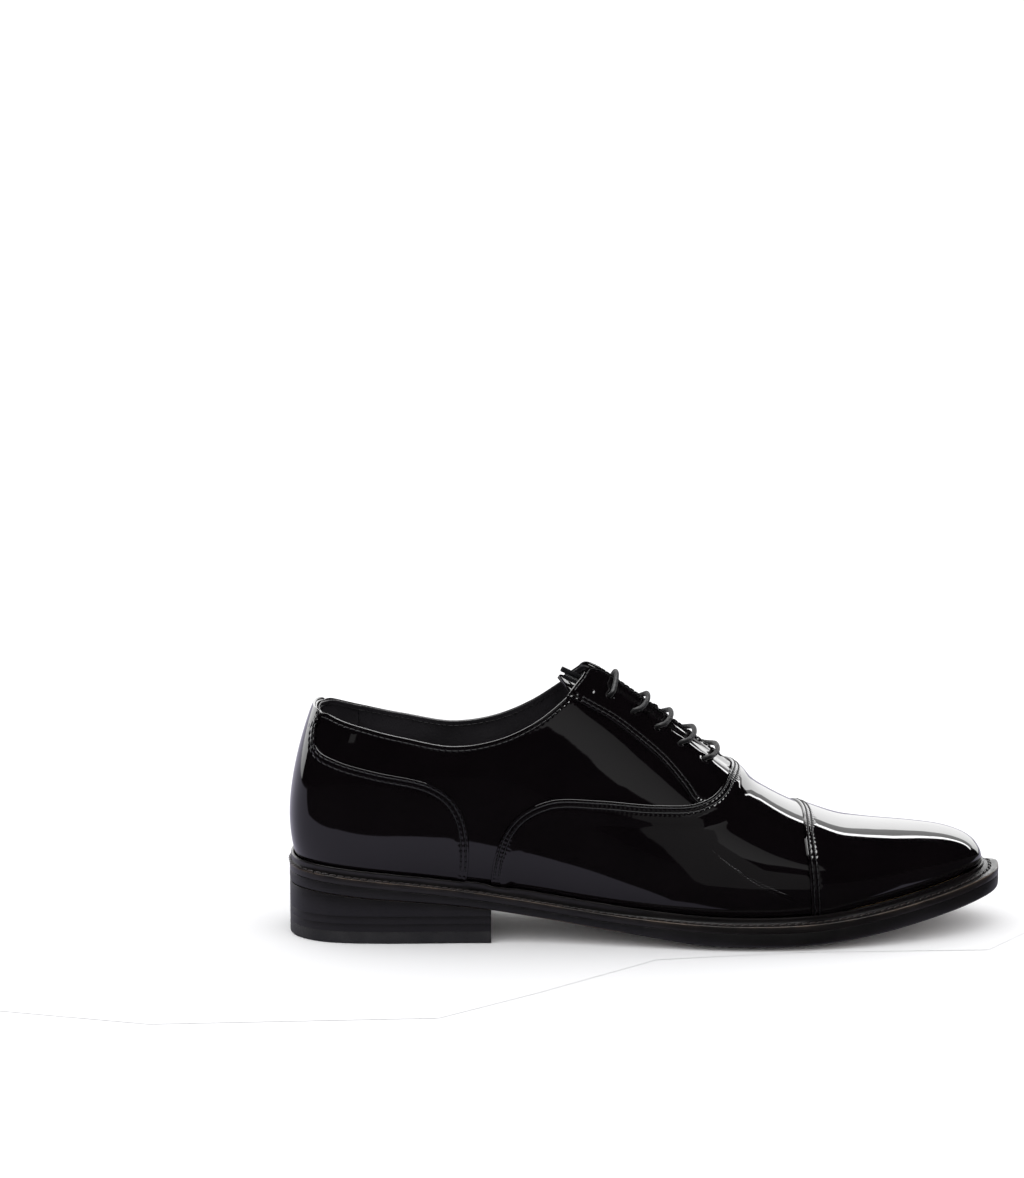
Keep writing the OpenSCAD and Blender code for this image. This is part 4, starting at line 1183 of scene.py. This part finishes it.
lip = 0.45
loops = [rim.ring(-4.5, shelf - WELT), rim.ring(-4.5, shelf - 1), rim.ring(crest_out + 0.2, shelf + 0.3)]
loops += [turned(a) for a in (200, 170, 145, 120, 95, 70, 45, 20, -10, -40)]
loops += [rim.ring(crest_out + 2 * BEAD_R - 0.2, np.minimum(shelf + 0.8, crest_up - 1)),
          rim.ring(flat_from, shelf + 0.15),
          rim.ring(channel - 1.5 * wide, shelf), rim.ring(channel - wide, shelf - 0.25 * deep),
          rim.ring(channel - 0.5 * wide, shelf - 0.8 * deep), rim.ring(channel, shelf - deep),
          rim.ring(channel + 0.5 * wide, shelf - 0.8 * deep),
          rim.ring(channel + wide, shelf - 0.25 * deep), rim.ring(channel + 1.5 * wide, shelf)]
first_highlight_and_wear_loop = len(loops)
loops += [rim.ring(margin - 0.28 * flat_width, shelf + 0.05), rim.ring(margin - lip - 0.25, shelf + 0.05),
          rim.ring(margin - lip, shelf), rim.ring(margin - 0.6 * lip, shelf - 0.05),
          rim.ring(margin - 0.25 * lip, shelf - 0.2 * lip),
          rim.ring(margin - 0.05 * lip, shelf - 0.55 * lip),
          rim.ring(margin, shelf - lip)]
loops += [rim.ring(margin + 0.05, shelf - WELT / 2), rim.ring(margin, shelf - WELT + 0.3),
          rim.ring(margin - 0.08, shelf - WELT + 0.08), rim.ring(margin - 0.3, shelf - WELT)]
# Mask for the paler tan along the outer top arris of the welt: partly wear, partly a painted highlight
highlight_and_wear_by = [0.0] * first_highlight_and_wear_loop + [0.0, 0.1, 0.35, 0.8, 1.0, 0.5, 0.1] + [0.0] * 4
count = len(rim.t)
faces = quads(len(loops), count)
faces += [[(len(loops) - 1) * count + i, (len(loops) - 1) * count + (i + 1) % count, (i + 1) % count, i]
          for i in range(count)]
welt = solid("welt_leather", np.concatenate(loops), faces, wear_and_highlight=np.repeat(highlight_and_wear_by, count))
turn_outward(welt)
dress(welt, welt_leather, node=["welt"])

# Waxed thread of the sole seam: one slanted stitch every few millimetres, sunk in the channel
places = Rim(int(rim.length / WELT_PITCH))
pick = np.interp(places.u, rim.u, np.arange(count))
thread_line = rim.ring(channel, shelf - deep + 0.3)
sunk = np.stack([np.interp(pick, np.arange(count), thread_line[:, k]) for k in range(3)], 1)
sunk = np.concatenate([sunk, sunk[:1]])
waxed_thread = grained("Waxed sole thread", (0.012, 0.009, 0.009), (0.035, 0.026, 0.024), 0.3, 0.5, 200,
                       3000, 0.2, 0.8, 0.0001)[0]
sew("welt_stitches", [(sunk, np.tile([0.0, 0.0, 1.0], (len(sunk), 1)))], waxed_thread,
    2.7, 0.85, 0.25, slant=0.22)

# ---- Outsole -----------------------------------------------------------------------------------
# A full leather outsole cut level with the welt, its edge trimmed, stained and waxed. The walking
# face is bare burnished leather with the closed channel of the sole seam near its rim.
# Each list gives (station, millimetres): the height of the stitched edge below the edge of the last,
# and how far the walking face bulges below its rim
EDGE = [(-0.5, 8), (3, 7.8), (5, 6.7), (7, 6.3), (8.5, 6.8), (10, 8.7), (18.5, 8.8)]
CROWN = [(-0.5, 0), (5.7, 0), (7, 1), (9.5, 1.6), (18.5, 1.6)]
CHANNEL_IN = 6.0
sole_edge = stained("Stained sole edge", (0.0024, 0.0017, 0.0022), (0.0062, 0.0045, 0.0052),
                    (0.12, 0.08, 0.05), 0.4, 0.52, 1500, 0.3)
rim = Rim(900)
drop = value_at(rim.t, DROP)
seat = -drop - WELT - 0.03
foot = -drop - value_at(rim.t, EDGE)
crown = value_at(rim.t, CROWN)
margin = value_at(rim.t, MARGIN)


def under(distance, rise=0.0):
    return rim.ring(margin - distance, foot - crown * np.clip(distance / 8, 0, 1) + rise)


rings = [rim.ring(margin - 3, seat), rim.ring(margin - 0.25, seat), rim.ring(margin - 0.06, seat - 0.1),
         rim.ring(margin, seat - 0.3), rim.ring(margin + 0.05, (seat + foot) / 2),
         rim.ring(margin, foot + 1.1),
         rim.ring(margin - 0.1, foot + 0.6), rim.ring(margin - 0.35, foot + 0.2), under(0.8),
         under(1.6), under(4),
         under(CHANNEL_IN - 0.5), under(CHANNEL_IN - 0.2, 0.3), under(CHANNEL_IN, 0.45),
         under(CHANNEL_IN + 0.15, 0.3), under(CHANNEL_IN + 0.4), under(8), under(11)]
points, faces = flank(rings, 0, 0)
outsole = solid("outsole_leather", points, faces)
turn_outward(outsole)
dress(outsole, sole_edge, node=["outsole"])
bare_sole = grained("Walking face of the sole", (0.05, 0.03, 0.02), (0.12, 0.075, 0.045), 0.32, 0.5, 35,
                    1300, 0.4, 0.4, 0.0003)[0]
outsole.data.materials.append(bare_sole)
for face in outsole.data.polygons:
    face.material_index = 1 if face.normal.z < -0.8 else 0

# ---- Heel --------------------------------------------------------------------------------------
# Built up from a leather wedge and two leather lifts, nailed, with a rubber top lift that takes the
# wear. The sides are trimmed flush with the sole, then stained and burnished like its edge.
TOP_LIFT = 5.0
LIFT = 3.3
BREAST_X = -67.5
BREAST_BOW = 0.8
NAIL_D = 1.9
heel_leather = stained("Burnished heel leather", (0.0024, 0.0017, 0.0022), (0.0062, 0.0045, 0.0052),
                       (0.1, 0.07, 0.05), 0.4, 0.52, 1700, 0.3)
rubber = grained("Heel rubber", (0.008, 0.008, 0.009), (0.02, 0.019, 0.02), 0.45, 0.65, 60, 1800, 0.5,
                 0.7, 0.0004)[0]
fine = np.linspace(-0.5, 0.5, 3001)
line = edge_point(fine) + edge_out(fine) * value_at(edge_station(fine), MARGIN)[:, None]
in_heel = fine[line[:, 0] < BREAST_X]
heel_rim = Rim(420, in_heel[0], in_heel[-1])
outline = heel_rim.ring(MARGIN, 0.0)
tops = heel_rim.ring(MARGIN, -value_at(heel_rim.t, DROP) - value_at(heel_rim.t, EDGE))[:, 2]
share = np.linspace(0, 1, 62)[1:-1]
breast = outline[-1] * (1 - share)[:, None] + outline[0] * share[:, None]
breast[:, 0] = BREAST_X - BREAST_BOW * 4 * share * (1 - share)
tops = np.concatenate([tops, tops[-1] * (1 - share) + tops[0] * share])
outline = np.concatenate([outline, breast])
around = np.roll(outline, -1, 0) - np.roll(outline, 1, 0)
outline_out = unit(np.stack([around[:, 1], -around[:, 0], 0 * tops], 1))
if np.mean(np.sum(outline_out * (outline - outline.mean(0)), 1)) < 0:
    outline_out = -outline_out


def heel_layer(name, low, high, soft, grooved=False):
    """One layer of the heel between two heights, its edges softened."""
    def loop(inset, height):
        ring = outline - inset * outline_out
        ring[:, 2] = height
        return ring
    loops = [loop(4, high), loop(soft, high), loop(0.3 * soft, high - 0.3 * soft), loop(0, high - soft),
             loop(0, low + soft), loop(0.3 * soft, low + 0.3 * soft), loop(soft, low)]
    if grooved:
        loops += [loop(3.6, low), loop(3.75, low + 0.35), loop(4.4, low + 0.35), loop(4.55, low)]
    loops.append(loop(9, low))
    count = len(outline)
    half = len(heel_rim.t) // 2
    faces = quads(len(loops), count)
    for ring_no in (0, len(loops) - 1):
        base = ring_no * count
        side_a = [base + half - 1 - i for i in range(half)] + [base + count - 1 - i for i in range(30)]
        side_b = [base + half + i for i in range(half)] + [base + 2 * half + i for i in range(30)]
        faces += [[side_a[i], side_b[i], side_b[i + 1], side_a[i + 1]] for i in range(len(side_a) - 1)]
    obj = solid(name, np.concatenate(loops), faces)
    turn_outward(obj)
    return obj


joint = TOP_LIFT + 2 * LIFT
dress(heel_layer("heel_wedge_leather", joint, tops - 0.02, 0.06), heel_leather,
      node=["heel_wedge"])
dress(heel_layer("heel_lift_upper_leather", TOP_LIFT + LIFT, joint, 0.02), heel_leather,
      node=["heel_lift_upper"])
dress(heel_layer("heel_lift_lower_leather", TOP_LIFT, TOP_LIFT + LIFT, 0.02), heel_leather,
      node=["heel_lift_lower"])
top_lift = heel_layer("top_lift_rubber", 0, TOP_LIFT, 0.1, grooved=True)
nail_places = []
for u in (0.03, 0.075, 0.12, 0.165, 0.21):
    for turn in (-1, 1):
        spot = np.array([turn * u])
        nail_places.append((edge_point(spot)[0] - 6 * edge_out(spot)[0]) * (1, 1, 0))
drill(top_lift, nail_places, [np.array([0.0, 0, 1])] * 10, NAIL_D, 20, 3.0)
dress(top_lift, rubber, node=["top_lift"])
brass, shader = grained("Dull brass", (0.5, 0.36, 0.15), (0.75, 0.58, 0.28), 0.3, 0.45, 200, 2500, 0.2,
                        0.3, 0.0001)
shader.inputs["Metallic"].default_value = 1.0
finish_node("heel_nails", brass)

# ---- Studio ------------------------------------------------------------------------------------
# A white table and backdrop, a soft lamp above, and painted reflections: glowing panels behind and
# on the camera's side that only the lacquer sees, and a world and table painted near black where the
# lacquer mirrors them, so that the lacquer stays black except where it faces a panel or the lamp.
scene = bpy.context.scene


def sheet_mesh(name, corners, material):
    mesh = bpy.data.meshes.new(name)
    mesh.from_pydata(corners, [], [list(range(len(corners)))])
    obj = bpy.data.objects.new(name, mesh)
    scene.collection.objects.link(obj)
    obj.data.materials.append(material)
    return obj


def white_paper(name, painted_reflection_colour):
    """White paper to the camera and to diffuse light; where the lacquer mirrors it, its colour is painted
    in instead, a painted reflection given by the last argument.
    """
    paper = bpy.data.materials.new(name)
    paper.use_nodes = True
    tree = paper.node_tree
    shader = tree.nodes["Principled BSDF"]
    shader.inputs["Roughness"].default_value = 0.9
    shader.inputs["Specular IOR Level"].default_value = 0.1
    path = tree.nodes.new("ShaderNodeLightPath")
    mixed(tree, path.outputs["Is Glossy Ray"], (0.95, 0.95, 0.955), painted_reflection_colour, shader.inputs["Base Color"])
    return paper


TABLE = 60.0            # far larger than the view, in metres as all of the studio
CARD = [(-3, -0.08), (-0.4, -0.085), (-0.29, -0.12), (-0.2, -0.15), (-0.09, -0.145), (-0.05, -0.11),
        (0, -0.062),
        (0.06, -0.052), (0.14, -0.05), (0.17, -0.01), (0.26, 0.06), (0.3, 0.11), (0.4, 0.3), (0.9, 3),
        (-3, 3)]
TABLE_Z = -0.0004
CARD_Z = -0.0002
# The table shows near black in the lacquer, a painted dark reflection; the card under the shoe shows
# lilac grey there, a painted reflection of a lit patch of table
floor = sheet_mesh("table", [(-TABLE, -TABLE, TABLE_Z), (TABLE, -TABLE, TABLE_Z), (TABLE, TABLE, TABLE_Z),
                             (-TABLE, TABLE, TABLE_Z)], white_paper("White table", (0.012, 0.012, 0.014)))
card = sheet_mesh("painted_reflection_card", [(x, y, CARD_Z) for x, y in CARD],
                  white_paper("White card with painted reflection", (0.38, 0.365, 0.45)))

world = bpy.data.worlds.new("Studio")
scene.world = world
world.use_nodes = True
tree = world.node_tree
background = tree.nodes["Background"]
path = tree.nodes.new("ShaderNodeLightPath")
# The world is white to the camera and to diffuse light, and painted near black where the lacquer mirrors
# it: a painted dark reflection
mixed(tree, path.outputs["Is Glossy Ray"], (1.3, 1.3, 1.31), (0.0015, 0.0015, 0.002),
      background.inputs["Color"])


def glow(name, corners, low, high):
    """An upright glowing panel that only shows in the lacquer, a painted reflection that lights nothing
    and casts no shadow; its glow goes from low to high with its height.
    """
    material = bpy.data.materials.new(name)
    material.use_nodes = True
    tree = material.node_tree
    tree.nodes.clear()
    out = tree.nodes.new("ShaderNodeOutputMaterial")
    light = tree.nodes.new("ShaderNodeEmission")
    where = tree.nodes.new("ShaderNodeTexCoord")
    split = tree.nodes.new("ShaderNodeSeparateXYZ")
    rise = tree.nodes.new("ShaderNodeMapRange")
    heights = [c[2] for c in corners]
    for name, value in (("From Min", min(heights)), ("From Max", max(heights)), ("To Min", low),
                        ("To Max", high)):
        rise.inputs[name].default_value = value
    tree.links.new(where.outputs["Object"], split.inputs[0])
    tree.links.new(split.outputs["Z"], rise.inputs["Value"])
    tree.links.new(rise.outputs["Result"], light.inputs["Strength"])
    tree.links.new(light.outputs[0], out.inputs["Surface"])
    panel = sheet_mesh(name, corners, material)
    panel.visible_diffuse = panel.visible_camera = panel.visible_shadow = False


def upright(y, left, right, low, high):
    return [(left, y, low), (right, y, low), (right, y, high), (left, y, high)]


BEHIND = 2.0
IN_FRONT = -1.25
# Painted reflections behind the shoe: a wall, a haze above it and a bright strip at its top, all glowing
# panels that only the lacquer sees
glow("back_wall", upright(BEHIND, -4.5, 2.0, 0.0, 0.85), 1.7, 3.2)
glow("haze_between", upright(BEHIND, -2.0, 2.0, 0.85, 1.2), 0.9, 0.9)
glow("top_strip", upright(BEHIND, -1.2, 2.4, 1.2, 1.36), 8, 8)

# On the camera's side more glowing panels that only the lacquer sees, all painted reflections: a slanted
# screen, the reflection of a small lamp far back, a glowing strip close to the vamp, and a near-black
# panel, a painted dark reflection, that keeps the shine off the facings
SCREEN = [(0.11, 0.64), (0.22, 0.64), (0.43, 0.75), (0.61, 0.93), (1.1, 1.3), (1.1, 1.7), (0.11, 1.7)]
GLOWING_STRIP = [(-0.02, 0.086), (0.015, 0.124), (0.09, 0.22), (0.045, 0.12), (0.07, 0.072), (0.115, 0.083),
              (0.115, 0.0), (0.0, 0.0), (-0.01, 0.007), (-0.02, 0.05)]
PAINTED_LAMP_REFLECTION = [(-0.75, 0.52), (-0.62, 0.5), (-0.6, 0.66), (-0.72, 0.64)]
PAINTED_DARK_REFLECTION = [(-0.08, 0.09), (0.03, 0.086), (0.055, 0.1), (0.055, 0.13), (-0.01, 0.2), (-0.08, 0.2)]
for name, y, outline, low, high in (("screen", IN_FRONT, SCREEN, 0.45, 0.3),
                                    ("glowing_strip", -0.16, GLOWING_STRIP, 0.16, 0.24),
                                    ("painted_lamp_reflection", IN_FRONT, PAINTED_LAMP_REFLECTION, 0.32, 0.32),
                                    ("painted_dark_reflection", 0.05, PAINTED_DARK_REFLECTION, 0.01, 0.01)):
    glow(name, [(x, y, z) for x, z in outline], low, high)

overhead = bpy.data.objects.new("overhead", bpy.data.lights.new("overhead", "AREA"))
overhead.data.shape = "RECTANGLE"
overhead.data.size = 1.3
overhead.data.size_y = 1.0
overhead.data.energy = 38
overhead.location = (-0.15, 0.1, 1.5)
overhead.visible_diffuse = False
scene.collection.objects.link(overhead)

LENS = 86.8
SENSOR = 36
CAMERA_AT = (-0.0924, -1.2, 0.305)
LOOKS_DOWN = 7.55
LOOKS_ASIDE = 1.65
camera_data = bpy.data.cameras.new("camera")
camera = bpy.data.objects.new("camera", camera_data)
scene.collection.objects.link(camera)
scene.camera = camera
camera_data.sensor_fit = "VERTICAL"
camera_data.sensor_height = SENSOR
camera_data.sensor_width = SENSOR
camera_data.lens = LENS
camera.location = CAMERA_AT
camera.rotation_euler = (math.radians(90 - LOOKS_DOWN), 0, math.radians(-LOOKS_ASIDE))
scene.view_settings.view_transform = "Standard"
